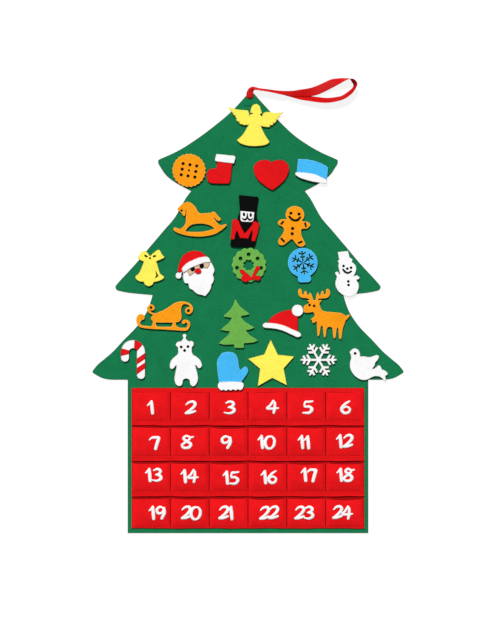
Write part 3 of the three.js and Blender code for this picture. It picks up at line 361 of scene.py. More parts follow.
# Each station in millimetres: the middle's x, y, z, half of the width as a vector x, y, z, and
# the depth of the pleats
RIBBON = [
    (4.0, 485.0, 1.5, 4.2, 0, 0, 0.5),
    (4.0, 482.4, 2.6, 4.4, 0, 0, 0.5),
    (4.0, 480.6, 4.2, 4.6, 0, 0, 0.4),
    (4.0, 481.4, 5.8, 5.8, 0, 0, 0.35),
    (4.0, 485.6, 6.2, 7.2, 0, 0, 0.3),
    (4.0, 490.6, 5.8, 7.7, 0, 0, 0.25),
    (5.0, 496.6, 5.4, 6.6, -0.8, 0.3, 0.15),
    (7.6, 500.8, 6.4, 5.0, -3.0, 2.4, 0.05),
    (12.6, 502.8, 9.6, 2.6, -4.4, 6.0, 0),
    (19, 501.4, 12.2, 0.6, -3.2, 4.0, 0.3),
    (27, 499.4, 13.5, 0, -2.6, 2.8, 0.4),
    (42, 497.4, 13.8, 0, -2.8, 2.6, 0.4),
    (60, 494.4, 13.7, 0, -3.4, 2.4, 0.3),
    (75, 492.2, 12.6, 0.1, -4.4, 1.6, 0.2),
    (88, 491.4, 11.1, 0.2, -5.0, 0.6, 0.1),
    (103, 490.9, 9.2, 0.4, -6.4, 0.1, 0),
    (119, 492.6, 7.0, 1.0, -7.6, 0.1, 0),
    (136, 493.8, 5.4, 2.4, -9.0, 0.6, 0),
    (154, 498.2, 4.4, 3.4, -9.4, 1.6, 0),
    (175, 507.6, 4.4, 4.0, -9.0, 2.2, 0),
    (191, 515.2, 5.0, 4.2, -8.5, 3.4, 0),
    (205, 519.7, 6.8, 2.8, -6.8, 6.8, 0),
    (217, 522.6, 9.2, 1.2, -4.4, 8.6, 0),
    (229, 524.0, 9.8, 0.6, -1.6, 9.4, 0),
    (236.8, 518.8, 10.2, 2.4, 1.4, 9.4, 0),
    (241.4, 511.2, 9.9, 3.6, 0.2, 9.2, 0),
    (237.6, 501.8, 9.9, 3.4, -1.9, 9.1, 0),
    (227.2, 491.2, 9.4, 4.4, -3.2, 8.3, 0),
    (213.4, 482.2, 9.2, 2.8, -4.8, 8.2, 0),
    (197, 477.8, 8.8, 1.0, -6.1, 7.8, 0),
    (179, 475.7, 8.4, 0, -6.7, 7.4, 0),
    (162, 476.6, 8.2, -0.8, -6.9, 7.1, 0),
    (139.5, 479.4, 8.2, -1.0, -6.3, 5.0, 0),
    (117, 482.2, 7.8, -0.6, -5.2, 3.4, 0),
    (97, 486.0, 7.8, -0.3, -3.6, 3.0, 0.1),
    (84, 489.2, 7.0, -0.2, -2.9, 2.8, 0.2),
    (72, 492.2, 6.4, -0.1, -2.8, 2.6, 0.3),
    (60, 494.9, 6.3, 0, -2.3, 2.4, 0.3),
    (42, 498.2, 6.3, 0, -1.9, 2.6, 0.3),
    (26, 500.6, 6.2, 0, -2.5, 2.8, 0.3),
    (16, 501.6, 5.6, 0.6, -2.8, 3.6, 0.2),
    (10.6, 501.6, 3.6, 3.2, -2.8, 3.0, 0),
    (7.6, 500.2, 1.5, 5.6, -1.4, 1.0, 0),
    (5.6, 496.8, 0.5, 6.6, -0.4, 0.05, 0.05),
    (4.4, 491.0, 0.45, 6.4, 0, 0, 0.05),
    (4.0, 486.4, 0.5, 4.6, 0, 0, 0.05),
    (4.0, 485.0, 0.8, 4.2, 0, 0, 0.1),
    (4.0, 485.0, 1.2, 4.2, 0, 0, 0.2),
]
# How many steps lead from one station to the next, and how many strips lie side by side
RIBBON_STEPS, RIBBON_STRIPS = 5, 14
RIBBON_HALF_THICK = 0.22 * MM


def make_ribbon():
    """A closed strip with two faces: thin at its edges, thicker beside them, pleated and bowed."""
    stations = spline(RIBBON, RIBBON_STEPS)
    centres = [mm(*s[:3]) for s in stations]
    vertices, uvs, lengths = [], [], [0.0]
    for a, b in zip(centres, centres[1:]):
        lengths.append(lengths[-1] + (b - a).length)
    for i, station in enumerate(stations):
        ahead = centres[min(i + 1, len(centres) - 1)]
        behind = centres[max(i - 1, 0)]
        half = mm(*station[3:6])
        face = (ahead - behind).cross(half).normalized()
        pleat = station[6]
        for side in (1, -1):
            for k in range(RIBBON_STRIPS + 1):
                w = (2 * k / RIBBON_STRIPS - 1) * side
                folds = pleat * MM * math.sin(w * 2.6 * math.pi)
                bow = 0.5 * MM * (1 - w * w) * math.sin(lengths[i] * 24)
                edge = 0.45 + 0.55 * min(1, 8 * (1 - abs(w)))
                selvedge = 1.35 if 0.8 < abs(w) < 0.99 else 1.0
                thick = side * RIBBON_HALF_THICK * edge * selvedge
                lift = face * (folds + bow * (1 - pleat) + thick)
                vertices.append(centres[i] + half * w + lift)
                uvs.append((lengths[i], w * half.length))
    ring = 2 * (RIBBON_STRIPS + 1)
    faces = []
    for i in range(len(stations) - 1):
        for k in range(ring):
            a, b = i * ring + k, i * ring + (k + 1) % ring
            faces.append((a, b, b + ring, a + ring))
    last = (len(stations) - 1) * ring
    faces.append(tuple(reversed(range(ring))))
    faces.append(tuple(range(last, last + ring)))
    piece = new_object("ribbon", vertices, faces, [SATIN])
    layer = piece.data.uv_layers.new(name="UVMap")
    for loop in piece.data.loops:
        layer.data[loop.index].uv = uvs[loop.vertex_index]
    face_outward(piece)
    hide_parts("ribbon_hitch", "ribbon_loop")
    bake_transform(piece)


make_ribbon()


# Felt pieces, cut to the outline of the CAD node that each one stands for

# How level a top face has to be, in metres
LEVEL_WITHIN = 2e-5
# An outline that turns by more degrees than this has a corner there
SHARP_TURN = 48
# The largest area of a small hole, in square metres
SMALL_HOLE = 130e-6


def top_loops(node):
    """The outlines of a node's highest flat face: the outer one runs left, holes run right."""
    mesh = node.data
    top = max(v.co.z for v in mesh.vertices)

    def key(index):
        at = mesh.vertices[index].co
        return round(at.x, 5), round(at.y, 5)

    edges = set()
    for face in mesh.polygons:
        level = all(abs(mesh.vertices[i].co.z - top) < LEVEL_WITHIN for i in face.vertices)
        if not level or face.normal.z < 0.9:
            continue
        corners = [key(i) for i in face.vertices]
        for a, b in zip(corners, corners[1:] + corners[:1]):
            if a == b:
                continue
            if (b, a) in edges:
                edges.discard((b, a))
            else:
                edges.add((a, b))
    onward = {}
    for a, b in sorted(edges):
        onward.setdefault(a, []).append(b)
    loops = []
    while onward:
        start = min(onward)
        loop, at = [], start
        while at in onward:
            loop.append(at)
            following = onward[at].pop()
            if not onward[at]:
                del onward[at]
            at = following
        loops.append([Vector(p) for p in loop])
    return loops


def smoothed(loop, longest=0.0085, steps=3):
    """Turns the short sides of an outline into curves; its corners and long sides stay."""
    count = len(loop)
    sides = [loop[(i + 1) % count] - loop[i] for i in range(count)]
    straight = [side.length > longest for side in sides]
    tangents = []
    for i in range(count):
        before, after = sides[i - 1], sides[i]
        turn = math.degrees(before.angle(after, 0))
        if turn > SHARP_TURN or (straight[i - 1] and straight[i]):
            tangents.append((before.normalized(), after.normalized()))
        elif straight[i - 1]:
            tangents.append((before.normalized(), before.normalized()))
        elif straight[i]:
            tangents.append((after.normalized(), after.normalized()))
        else:
            both = (before.normalized() + after.normalized()).normalized()
            tangents.append((both, both))
    result = []
    for i in range(count):
        result.append(loop[i])
        if straight[i]:
            continue
        a, b, size = loop[i], loop[(i + 1) % count], sides[i].length
        leave, arrive = tangents[i][1] * size, tangents[(i + 1) % count][0] * size
        for step in range(1, steps):
            t = step / steps
            result.append(
                a * (2 * t ** 3 - 3 * t ** 2 + 1) + leave * (t ** 3 - 2 * t ** 2 + t)
                + b * (3 * t ** 2 - 2 * t ** 3) + arrive * (t ** 3 - t ** 2)
            )
    return result


def inset(loop, distance):
    """Moves an outline inwards; a hole's outline grows."""
    count = len(loop)
    moved = []
    for i in range(count):
        before = (loop[i] - loop[i - 1]).normalized()
        after = (loop[(i + 1) % count] - loop[i]).normalized()
        inward = Vector((-before.y - after.y, before.x + after.x))
        if inward.length < 1e-6:
            inward = Vector((-before.y, before.x))
        inward.normalize()
        slant = max(0.6, inward.dot(Vector((-before.y, before.x))))
        moved.append(loop[i] + inward * (distance / slant))
    return moved


def area(loop):
    """The area in an outline, which is less than nothing where the outline runs right."""
    return sum(a.x * b.y - b.x * a.y for a, b in zip(loop, loop[1:] + loop[:1])) / 2


def is_small_hole(loop):
    return -SMALL_HOLE < area(loop) < 0


# Which of its materials a face of a felt piece takes; the third is the painted shade on a small
# hole's walls
PLAIN, EDGE, HOLE_SHADED = range(3)


def felt_sheet(name, loops, bottom, top, materials, rim=1.2, soft=0.45, floor=None):
    """A cut piece of felt with a rounded cut edge.

    A band along the edge has the second material, whose colour is painted highlight or painted
    shade, and a small hole's band the third, painted shade, where there is one. rim and soft are
    the band's width and the rounding's, in millimetres, and floor gives the height under which no
    point goes.
    """
    # Each ring: how far in from the outline, how far out from a small hole's, and its height
    rings = [
        (soft, -0.7, lambda p: bottom),
        (0.0, -0.6, lambda p: bottom + soft * MM),
        (0.0, -0.1, lambda p: top - soft * MM * 1.2),
        (soft * 0.4, soft * 0.14, lambda p: top - soft * MM * 0.4),
        (soft, soft * 0.35, lambda p: top),
        (rim, rim * 0.7, lambda p: top),
    ]
    vertices, faces, kinds = [], [], []
    rows = []
    for distance, hole_distance, height in rings:
        row = []
        for loop in loops:
            shifted = inset(loop, (hole_distance if is_small_hole(loop) else distance) * MM)
            row.append((len(vertices), shifted))
            for p in shifted:
                z = height(p)
                if floor:
                    z = max(z, floor(p))
                vertices.append((p.x, p.y, z))
        rows.append(row)
    for low, high in zip(rows, rows[1:]):
        for (a, loop), (b, _) in zip(low, high):
            count = len(loop)
            kind = HOLE_SHADED if len(materials) > HOLE_SHADED and is_small_hole(loop) else EDGE
            for i in range(count):
                j = (i + 1) % count
                faces.append((a + i, a + j, b + j, b + i))
                kinds.append(kind)
    for row, flipped in ((rows[0], True), (rows[-1], False)):
        flat = [[Vector((p.x, p.y, 0)) for p in loop] for _, loop in row]
        index = [start + i for start, loop in row for i in range(len(loop))]
        for triangle in tessellate_polygon(flat):
            corners = [index[i] for i in triangle]
            a, b, c = (Vector(vertices[i][:2]) for i in corners)
            upward = (b - a).x * (c - a).y - (b - a).y * (c - a).x > 0
            faces.append(tuple(corners if upward != flipped else reversed(corners)))
            kinds.append(PLAIN)
    return new_object(name, vertices, faces, materials, kinds)


# The heights of the hook pads' undersides and tops, and how much of their corners is cut off, in
# metres
PAD_BOTTOM, PAD_TOP = 0.0033, 0.0053
PAD_CORNER = 0.0012
# The heights of an ornament's first and second layer of felt, in millimetres
FIRST_TOP, SECOND_TOP = 8.3, 9.8


def hook_pad(name, node, slot, body):
    """The pad under an ornament, as wide as the lowest points of its node, its corners cut off."""
    low = [v.co for v in node.data.vertices if v.co.z < PAD_TOP - 1e-4]
    x0, x1 = min(p.x for p in low), max(p.x for p in low)
    y0, y1 = min(p.y for p in low), max(p.y for p in low)
    corners = [Vector((x0, y0)), Vector((x1, y0)), Vector((x1, y1)), Vector((x0, y1))]
    loop = []
    for i, corner in enumerate(corners):
        for other in (corners[i - 1], corners[(i + 1) % 4]):
            loop.append(corner + (other - corner).normalized() * PAD_CORNER)
    materials = [FACE[slot], EDGE_LIGHT_SHADE[slot]]
    piece = felt_sheet(
        name + "_hook_pad", [loop], PAD_BOTTOM, PAD_TOP, materials, rim=0.8, soft=0.3
    )
    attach(piece, body)


# Feather cuts in the angel's wings, in millimetres: where each one starts on the edge, and how far
# it goes in
NOTCH_WIDE = 1.7
FEATHER_CUTS = [
    (-34.4, 446.2, 2.6, 2.2), (-30.2, 439.8, 3.0, 2.4), (-25.7, 434.0, 3.2, 2.6),
    (-20.0, 428.6, 3.0, 3.0), (-13.5, 423.8, 2.4, 3.2),
    (75.2, 442.9, -3.0, 2.2), (70.0, 437.2, -3.2, 2.4), (63.7, 431.4, -3.2, 2.8),
    (56.6, 426.3, -2.8, 3.0), (48.6, 421.1, -2.2, 3.2),
]
# How many times as wide and as high a piece is as its outline in the CAD
WIDENED = {"santa_nose": (1.3, 1.0)}
# The tree's boughs have tips of this radius in millimetres. The trunk's corners, which lie lower
# than this y, stay sharp, and sides up to this length turn into curves.
BOUGH_RADIUS, LOWEST_BOUGH, LONGEST_CURVE = 7, -0.17, 0.16
# Felt that starts lower than this has a hook pad under it, apart from the tree and its backing
PADDED_BELOW = 0.0035
FLAT_SHEETS = ("tree_panel", "pocket_backing")
# The outlines of each piece's small holes, kept for the painted shade lines in the globe
cut_holes = {}


def cut_notches(loop, notches):
    """Cuts narrow notches into an outline, each at the place on it nearest to the notch's start."""
    for x, y, dx, dy in notches:
        start = Vector((x, y)) * MM
        best = None
        for i, a in enumerate(loop):
            side = loop[(i + 1) % len(loop)] - a
            t = min(0.8, max(0.2, (start - a).dot(side) / side.length_squared))
            away = (a + side * t - start).length
            if best is None or away < best[0]:
                best = (away, i, a + side * t, side)
        _, i, spot, side = best
        half = side.normalized() * min(NOTCH_WIDE * MM / 2, side.length * 0.18)
        loop[i + 1:i + 1] = [spot - half, spot + Vector((dx, dy)) * MM, spot + half]
    return loop


def middle_of(points):
    return sum(points, Vector((0, 0))) / len(points)


def widened(loop, across, up):
    middle = middle_of(loop)
    return [
        Vector((middle.x + (p.x - middle.x) * across, middle.y + (p.y - middle.y) * up))
        for p in loop
    ]


def rounded(loop, radius, above):
    """Rounds an outline's sharp outer corners above a y, over a radius in millimetres."""
    result = []
    for i, corner in enumerate(loop):
        before, after = corner - loop[i - 1], loop[(i + 1) % len(loop)] - corner
        outer = before.x * after.y - before.y * after.x > 0
        sharp = math.degrees(before.angle(after, 0)) >= SHARP_TURN
        if not outer or not sharp or corner.y < above:
            result.append(corner)
            continue
        cut = min(radius * MM, before.length * 0.45, after.length * 0.45)
        a, b = corner - before.normalized() * cut, corner + after.normalized() * cut
        for t in (0, 0.25, 0.5, 0.75, 1):
            result.append(a * (1 - t) ** 2 + corner * 2 * t * (1 - t) + b * t ** 2)
    return result


def make_felt_piece(name):
    """One felt piece in the outline of its node, and the hook pad under it, if it has one."""
    node = nodes[name]
    slot = slots[name]
    low, high = (corner.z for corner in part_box(name))
    padded = low < PADDED_BELOW and name not in FLAT_SHEETS
    bottom = PAD_TOP if padded else low
    loops = top_loops(node)
    if name == "angel":
        loops[0] = cut_notches(loops[0], FEATHER_CUTS)
    if name in WIDENED:
        loops = [widened(loop, *WIDENED[name]) for loop in loops]
    if name == "tree_panel":
        loops = [rounded(loop, BOUGH_RADIUS, LOWEST_BOUGH) for loop in loops]
        loops = [smoothed(loop, LONGEST_CURVE, steps=8) for loop in loops]
    else:
        loops = [smoothed(loop) for loop in loops]
    floor = tip_floor if name == "tree_panel" else None
    body = node["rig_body"]
    face = BACKING if name == "pocket_backing" else FACE[slot]
    materials = [face, EDGE_LIGHT_SHADE[slot]] + ([HOLE_SHADE] if padded else [])
    piece = felt_sheet(name + "_felt", loops, bottom, high, materials, floor=floor)
    cut_holes[name] = [loop for loop in loops if is_small_hole(loop)]
    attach(piece, body)
    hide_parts(name)
    if padded:
        hook_pad(name, node, slot, body)


# How far the tip of the tree is lifted, from which y on and over which length, in metres
TIP_LIFT, LIFT_START, LIFT_LENGTH = 0.0011, 0.46, 0.02


def tip_floor(p):
    """The tip of the tree lifts a little where the ribbon passes behind it."""
    share = min(1, max(0, (p.y - LIFT_START) / LIFT_LENGTH))
    return TIP_LIFT * share


for name in sorted(nodes):
    if not name.startswith(("pocket_row", "ribbon")):
        make_felt_piece(name)


# Pockets: four strips of felt across the trunk, in millimetres

ROWS, COLUMNS = 4, 6
# The y of the first row's lip, and how far apart the rows are
FIRST_LIP, PITCH = -180.5625, 79.875
# How far the seam along a row's foot lies below its lip, and a second seam below that
SEAM_DEPTH, SECOND_SEAM = 63.9, 5.9
# Each strip's height, half of its length, and the width of one pocket
TALL = [75.375, 75.375, 75.375, 67.5]
HALF = 262.125
WIDE = 2 * HALF / COLUMNS
# How high a strip's front lies where it is sewn down, and how far a wide open mouth stands off it
FRONT, DEPTH = 6.0, 7.6
SHEET_THICK, EDGE_ROUNDING, EDGE_DROP = 1.3, 0.6, 0.25
# No point of a strip goes below the backing's top
BACKING_TOP = 4.55
# How deep the thread presses along a foot and between pockets, and how wide the first is
FOOT_GROOVE, SIDE_GROOVE, GROOVE_WIDE = 0.35, 0.9, 0.9
# How far a wide open lip sags
LIP_SAG = 3.4

# How far each pocket's mouth gapes, from 0 to 1
GAPE = [
    [0.35, 0.35, 0.45, 0.4, 0.4, 0.35],
    [0.35, 0.4, 0.8, 0.5, 0.5, 0.4],
    [0.45, 0.7, 0.8, 0.6, 0.9, 0.8],
    [0.5, 0.6, 0.5, 0.7, 0.5, 0.9],
]


def lip_of(row):
    """The y of a row's lip."""
    return FIRST_LIP - row * PITCH


def ease(t):
    """A soft rise from 0 to 1 while t goes from 0 to 1."""
    t = min(1, max(0, t))
    return t * t * (3 - 2 * t)


def across_pocket(x):
    """The pocket's column at x, and how far x is from the pocket's middle: -1 to 1 at its seams."""
    column = min(COLUMNS - 1, max(0, int((x + HALF) // WIDE)))
    return column, (x + HALF - (column + 0.5) * WIDE) / (WIDE / 2)


def front_height(row, x, y):
    """The height of a row's front over the table: bulging, wrinkled and grooved at its seams."""
    column, u = across_pocket(x)
    seam = lip_of(row) - SEAM_DEPTH
    v = min(1, max(0, (y - seam) / SEAM_DEPTH))
    gape = GAPE[row][column]
    outermost = (column == 0 and u < 0) or (column == COLUMNS - 1 and u > 0)
    loose = max(0, 1 - min(1, abs(u) / (0.93 if outermost else 0.96)) ** 15)
    # The bulge over the pocket, which grows from the foot's seam to the mouth
    lift = (0.5 + 0.5 * gape) * DEPTH * loose * (1 - (1 - v) ** 4)
    # Slow wrinkles, which differ from pocket to pocket
    phase = row * 1.7 + column * 2.3
    wrinkle = 0.4 * math.sin(x * 0.11 + y * 0.05 + phase) * math.sin(y * 0.13 - x * 0.03 + phase)
    lift += wrinkle * loose * ease(v * 3)
    # The flap below the seam, which hangs over the mouth of the next row, and then the grooves
    if row < ROWS - 1:
        flap = 0.7 + 2.2 * GAPE[row + 1][column] * max(0, 1 - u * u)
        lift += flap * min(1, max(0, (seam - y) / 11)) ** 1.6
        lift -= FOOT_GROOVE * math.exp(-((y - seam + SECOND_SEAM) / GROOVE_WIDE) ** 2)
    lift -= FOOT_GROOVE * math.exp(-((y - seam) / GROOVE_WIDE) ** 2)
    lift -= SIDE_GROOVE * math.exp(-((1 - abs(u)) * 30) ** 2) * ease(v * 12)
    return FRONT + max(-SIDE_GROOVE, lift)


def lip_dip(row, x):
    """How far the lip sags below its straight line: most in a pocket's middle, a little askew."""
    column, u = across_pocket(x)
    sag = LIP_SAG * GAPE[row][column] ** 1.5
    skew = 0.8 * math.sin(row * 2.1 + column * 1.3)
    return max(0, 1 - u * u) * (sag + skew * u) + 0.5 * math.sin(x * 0.04 + row * 2)


# Which of its materials a face of a pocket row takes, after PLAIN and EDGE
SEAM_SHADED, FOOT_SHADED = 2, 3
# How near to a side seam, as a share of half a pocket, the felt is painted a darker red as shade in
# the seam's crease
SEAM_SHADE_REACH = 1 / 24


def make_pocket_row(row):
    """One strip as a grid of points, front and back, that is finer at the seams and the foot."""
    lip = lip_of(row)
    tall = TALL[row]
    bottom = lip - tall
    sewn = tall - SEAM_DEPTH
    # Across each pocket, as shares of its width: narrow steps at the seams and even ones between
    steps = [0, 0.015] + [0.015 + 0.97 * i / 22 for i in range(1, 22)] + [0.985]
    xs = [-HALF + (column + t) * WIDE for column in range(COLUMNS) for t in steps] + [HALF]
    # Up the strip, as shares of its height: fine steps over the sewn foot, then wider ones
    levels = [0.008 * k for k in range(26)]
    levels += [0.2 + 0.79 * (k / 34) for k in range(1, 34)] + [0.992, 1]
    vertices, faces, kinds = [], [], []
    for side in (0, 1):
        for level in levels:
            for x in xs:
                wave = 0.5 * math.sin(x * 0.045 + row * 1.9) + 0.3 * math.sin(x * 0.11 + row)
                y = bottom + wave * (1 - level) + level * (tall - lip_dip(row, x))
                top = front_height(row, x, y)
                edge = min(level * tall, (1 - level) * tall, EDGE_ROUNDING) / EDGE_ROUNDING
                drop = EDGE_DROP * (1 - edge)
                z = top - (drop if side else SHEET_THICK - drop)
                vertices.append(mm(x, y, max(z, BACKING_TOP)))
    columns, rows = len(xs), len(levels)
    layer = columns * rows
    for side in (0, 1):
        base = side * layer
        for r in range(rows - 1):
            for c in range(columns - 1):
                a = base + r * columns + c
                quad = (a, a + 1, a + 1 + columns, a + columns)
                faces.append(quad if side else tuple(reversed(quad)))
                _, u = across_pocket((xs[c] + xs[c + 1]) / 2)
                beside_seam = 1 - abs(u) < SEAM_SHADE_REACH and 0 < c < columns - 2
                if beside_seam and levels[r] * tall > sewn:
                    kinds.append(SEAM_SHADED)
                elif levels[r] * tall < sewn:
                    kinds.append(FOOT_SHADED)
                else:
                    kinds.append(EDGE if r == rows - 2 else PLAIN)
    border = list(range(columns))
    border += [r * columns + columns - 1 for r in range(1, rows)]
    border += [(rows - 1) * columns + c for c in range(columns - 2, -1, -1)]
    border += [r * columns for r in range(rows - 2, 0, -1)]
    for a, b in zip(border, border[1:] + border[:1]):
        faces.append((a, b, b + layer, a + layer))
        kinds.append(EDGE)
    name = "pocket_row_%d" % (row + 1)
    materials = [POCKET_LIT, EDGE_LIGHT_SHADE["red_felt"], SEAM_SHADE, FOOT_SHADE]
    piece = new_object(name + "_felt", vertices, faces, materials, kinds)
    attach(piece, "wall_hanging")
    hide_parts(name)


for row in range(ROWS):
    make_pocket_row(row)


# Numbers: brush-like digits cut from thin white felt

# Each digit is a list of strokes in a box 1 high: points x, y and the half width of the stroke
DIGITS = {
    "0": [[(0.52, 0.95, 0.06), (0.22, 0.86, 0.1), (0.07, 0.5, 0.11), (0.2, 0.12, 0.1),
           (0.46, 0.06, 0.08), (0.68, 0.3, 0.1), (0.72, 0.68, 0.1), (0.56, 0.92, 0.07),
           (0.4, 0.93, 0.05)]],
    "1": [[(0.0, 0.66, 0.05), (0.13, 0.78, 0.08), (0.24, 0.92, 0.09)],
          [(0.25, 0.94, 0.09), (0.28, 0.5, 0.12), (0.31, 0.08, 0.11)]],
    "2": [[(0.1, 0.72, 0.05), (0.3, 0.9, 0.08), (0.56, 0.92, 0.1), (0.66, 0.72, 0.11),
           (0.46, 0.42, 0.1), (0.1, 0.1, 0.09)],
          [(0.08, 0.1, 0.09), (0.34, 0.12, 0.09), (0.66, 0.24, 0.08)]],
    "3": [[(0.14, 0.84, 0.05), (0.4, 0.94, 0.09), (0.62, 0.8, 0.1), (0.52, 0.6, 0.09),
           (0.3, 0.52, 0.06)],
          [(0.34, 0.53, 0.07), (0.6, 0.44, 0.1), (0.64, 0.24, 0.11), (0.38, 0.08, 0.08),
           (0.04, 0.14, 0.05)]],
    "4": [[(0.46, 0.92, 0.09), (0.26, 0.6, 0.08), (0.06, 0.38, 0.08), (0.4, 0.36, 0.08),
           (0.76, 0.4, 0.06)],
          [(0.56, 0.8, 0.08), (0.54, 0.4, 0.11), (0.48, 0.06, 0.09)]],
    "5": [[(0.66, 0.94, 0.06), (0.4, 0.9, 0.08), (0.2, 0.88, 0.08), (0.16, 0.56, 0.07),
           (0.42, 0.56, 0.09), (0.62, 0.36, 0.11), (0.44, 0.1, 0.1), (0.06, 0.1, 0.06)]],
    "6": [[(0.6, 0.94, 0.06), (0.3, 0.72, 0.09), (0.1, 0.36, 0.11), (0.28, 0.08, 0.1),
           (0.54, 0.14, 0.09), (0.62, 0.38, 0.08), (0.4, 0.54, 0.07), (0.18, 0.42, 0.05)]],
    "7": [[(0.02, 0.74, 0.05), (0.2, 0.9, 0.08), (0.46, 0.9, 0.1), (0.6, 0.86, 0.11),
           (0.5, 0.5, 0.12), (0.4, 0.08, 0.11)]],
    "8": [[(0.78, 0.88, 0.05), (0.6, 0.84, 0.07), (0.34, 0.94, 0.08), (0.16, 0.76, 0.09),
           (0.36, 0.56, 0.1), (0.62, 0.34, 0.11), (0.5, 0.1, 0.1), (0.18, 0.08, 0.09),
           (0.08, 0.28, 0.09), (0.32, 0.5, 0.08), (0.54, 0.7, 0.08), (0.54, 0.86, 0.06)]],
    "9": [[(0.56, 0.84, 0.07), (0.34, 0.94, 0.08), (0.12, 0.74, 0.1), (0.2, 0.48, 0.1),
           (0.44, 0.5, 0.08), (0.6, 0.72, 0.09)],
          [(0.62, 0.86, 0.08), (0.64, 0.5, 0.11), (0.46, 0.1, 0.1)]],
}
# The digits' height, how much bolder they are than the table says, and their felt's thickness
DIGIT_TALL = 31
BOLD = 1.02
DIGIT_FELT = 1.5
# The width of one unit of the table for a single digit and for one of two, how far a narrow 1 and
# any other digit move the next one on, and how wide the last one counts
SINGLE_WIDE, DOUBLE_WIDE = 36, 32
NARROW_STEP, STEP, LAST_STEP = 0.42, 0.64, 0.72
# How far up or down a digit may be shifted, and how far each stroke lies over the one before it
DIGIT_SHIFT, STROKE_OVER = 0.8, 0.06

# The middles of the numbers in millimetres: x in each row, y of each row, and how much higher
# than that some of them sit
NUMBER_X = [
    [-218, -129.5, -41.5, 53.5, 134.5, 219.5],
    [-209, -138, -49.5, 41, 126.5, 217.5],
    [-211.5, -132, -37.5, 48, 138, 218.5],
    [-203.5, -129, -49.5, 47, 126, 211],
]
NUMBER_Y = [-215, -293.5, -371.8, -452]
NUMBER_LIFT = {4: 2, 7: -1, 12: 2, 13: 5.4, 14: 2.4, 15: -1.6, 17: 4.8, 18: 5.2, 24: 1}


def flat_ground(height):
    return lambda x, y: height


# A stroke reaches a little into its ground, and its edge is rounded over this width and height
STROKE_SUNK, STROKE_SOFT, STROKE_BEVEL = 0.35, 0.35, 0.4
STROKE_STEPS = 5


def stroke_mesh(points, ground, raise_by, vertices, faces, thick=0.8):
    """A flat stroke that follows the ground under it, with round ends and a soft edge."""
    path = spline(points, STROKE_STEPS)
    edges = []
    for i, p in enumerate(path):
        ahead, behind = path[min(i + 1, len(path) - 1)], path[max(i - 1, 0)]
        way = Vector((ahead.x - behind.x, ahead.y - behind.y)).normalized()
        side = Vector((-way.y, way.x)) * p.z
        at = Vector((p.x, p.y))
        if i == 0:
            out, turns = -way, (0.75, 0.5, 0.25, 0)
        elif i == len(path) - 1:
            out, turns = way, (0, 0.25, 0.5, 0.75)
        else:
            out, turns = way, (0,)
        for turn in turns:
            angle = turn * math.pi / 2
            across, beyond = side * math.cos(angle), out * p.z * math.sin(angle)
            edges.append((at + across + beyond, at - across + beyond))
    ring = 7
    start = len(vertices)
    for left, right in edges:
        middle = (left + right) / 2
        half = (left - right).length / 2
        soft = min(STROKE_SOFT, half * 0.5) / max(half, 1e-6)
        spots = [
            (left, -STROKE_SUNK), (left, thick - STROKE_BEVEL), (left.lerp(middle, soft), thick),
            (middle, thick + 0.05), (right.lerp(middle, soft), thick),
            (right, thick - STROKE_BEVEL), (right, -STROKE_SUNK),
        ]
        for spot, height in spots:
            vertices.append(mm(spot.x, spot.y, ground(spot.x, spot.y) + height + raise_by))
    for i in range(len(edges) - 1):
        for k in range(ring):
            a, b = start + i * ring + k, start + i * ring + (k + 1) % ring
            faces.append((a, a + ring, b + ring, b))
    faces.append(tuple(start + k for k in range(ring)))
    last = start + (len(edges) - 1) * ring
    faces.append(tuple(last + k for k in reversed(range(ring))))


def make_number(value, row, column):
    text = str(value)
    wide = SINGLE_WIDE if len(text) == 1 else DOUBLE_WIDE
    steps = [NARROW_STEP if digit == "1" else STEP for digit in text]
    width = sum(steps[:-1]) + (NARROW_STEP if text[-1] == "1" else LAST_STEP)
    x = NUMBER_X[row][column] - width * wide / 2
    y = NUMBER_Y[row] + NUMBER_LIFT.get(value, 0) - DIGIT_TALL / 2
    vertices, faces = [], []
    layer = 0
    shift = random.Random(value * 7)
    ground = partial(front_height, row)
    for digit, step in zip(text, steps):
        rise = shift.uniform(-DIGIT_SHIFT, DIGIT_SHIFT)
        for stroke in DIGITS[digit]:
            points = [
                (x + px * wide, y + rise + py * DIGIT_TALL, r * DIGIT_TALL * BOLD)
                for px, py, r in stroke
            ]
            stroke_mesh(points, ground, STROKE_OVER * layer, vertices, faces, DIGIT_FELT)
            layer += 1
        x += step * wide
    piece = new_object("number_%d" % value, vertices, faces, [FACE["white_felt"]])
    face_outward(piece)
    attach(piece, "wall_hanging")


for index in range(ROWS * COLUMNS):
    make_number(index + 1, *divmod(index, COLUMNS))


# Stitches

def add_stitch(vertices, faces, a, b, radius):
    """One stitch: a short thread that dives into the felt at both ends."""
    way = (b - a).normalized()
    side = way.cross(Vector((0, 0, 1))).normalized()
    rings, around = 5, 6
    start = len(vertices)
    for i in range(rings):
        t = i / (rings - 1)
        at = a.lerp(b, t)
        rise = radius * (math.sin(math.pi * t) * 1.1 - 0.25)
        width = radius * (0.55 + 0.45 * math.sin(math.pi * t))
        for k in range(around):
            angle = 2 * math.pi * k / around
            up = Vector((0, 0, rise + width * math.sin(angle)))
            vertices.append(at + side * (width * math.cos(angle)) + up)
    for i in range(rings - 1):
        for k in range(around):
            p, q = start + i * around + k, start + i * around + (k + 1) % around
            faces.append((p, p + around, q + around, q))
    faces.append(tuple(start + k for k in range(around)))
    last = start + (rings - 1) * around
    faces.append(tuple(last + k for k in reversed(range(around))))


STITCH = 3.0
# How far the outermost side seams lie inside a strip's ends, how far all seams stop short of its
# ends and its lip, and how far above the foot's seam the side seams start
END_INSET, STOP_SHORT, ABOVE_FOOT = 1.6, 2, 1.5


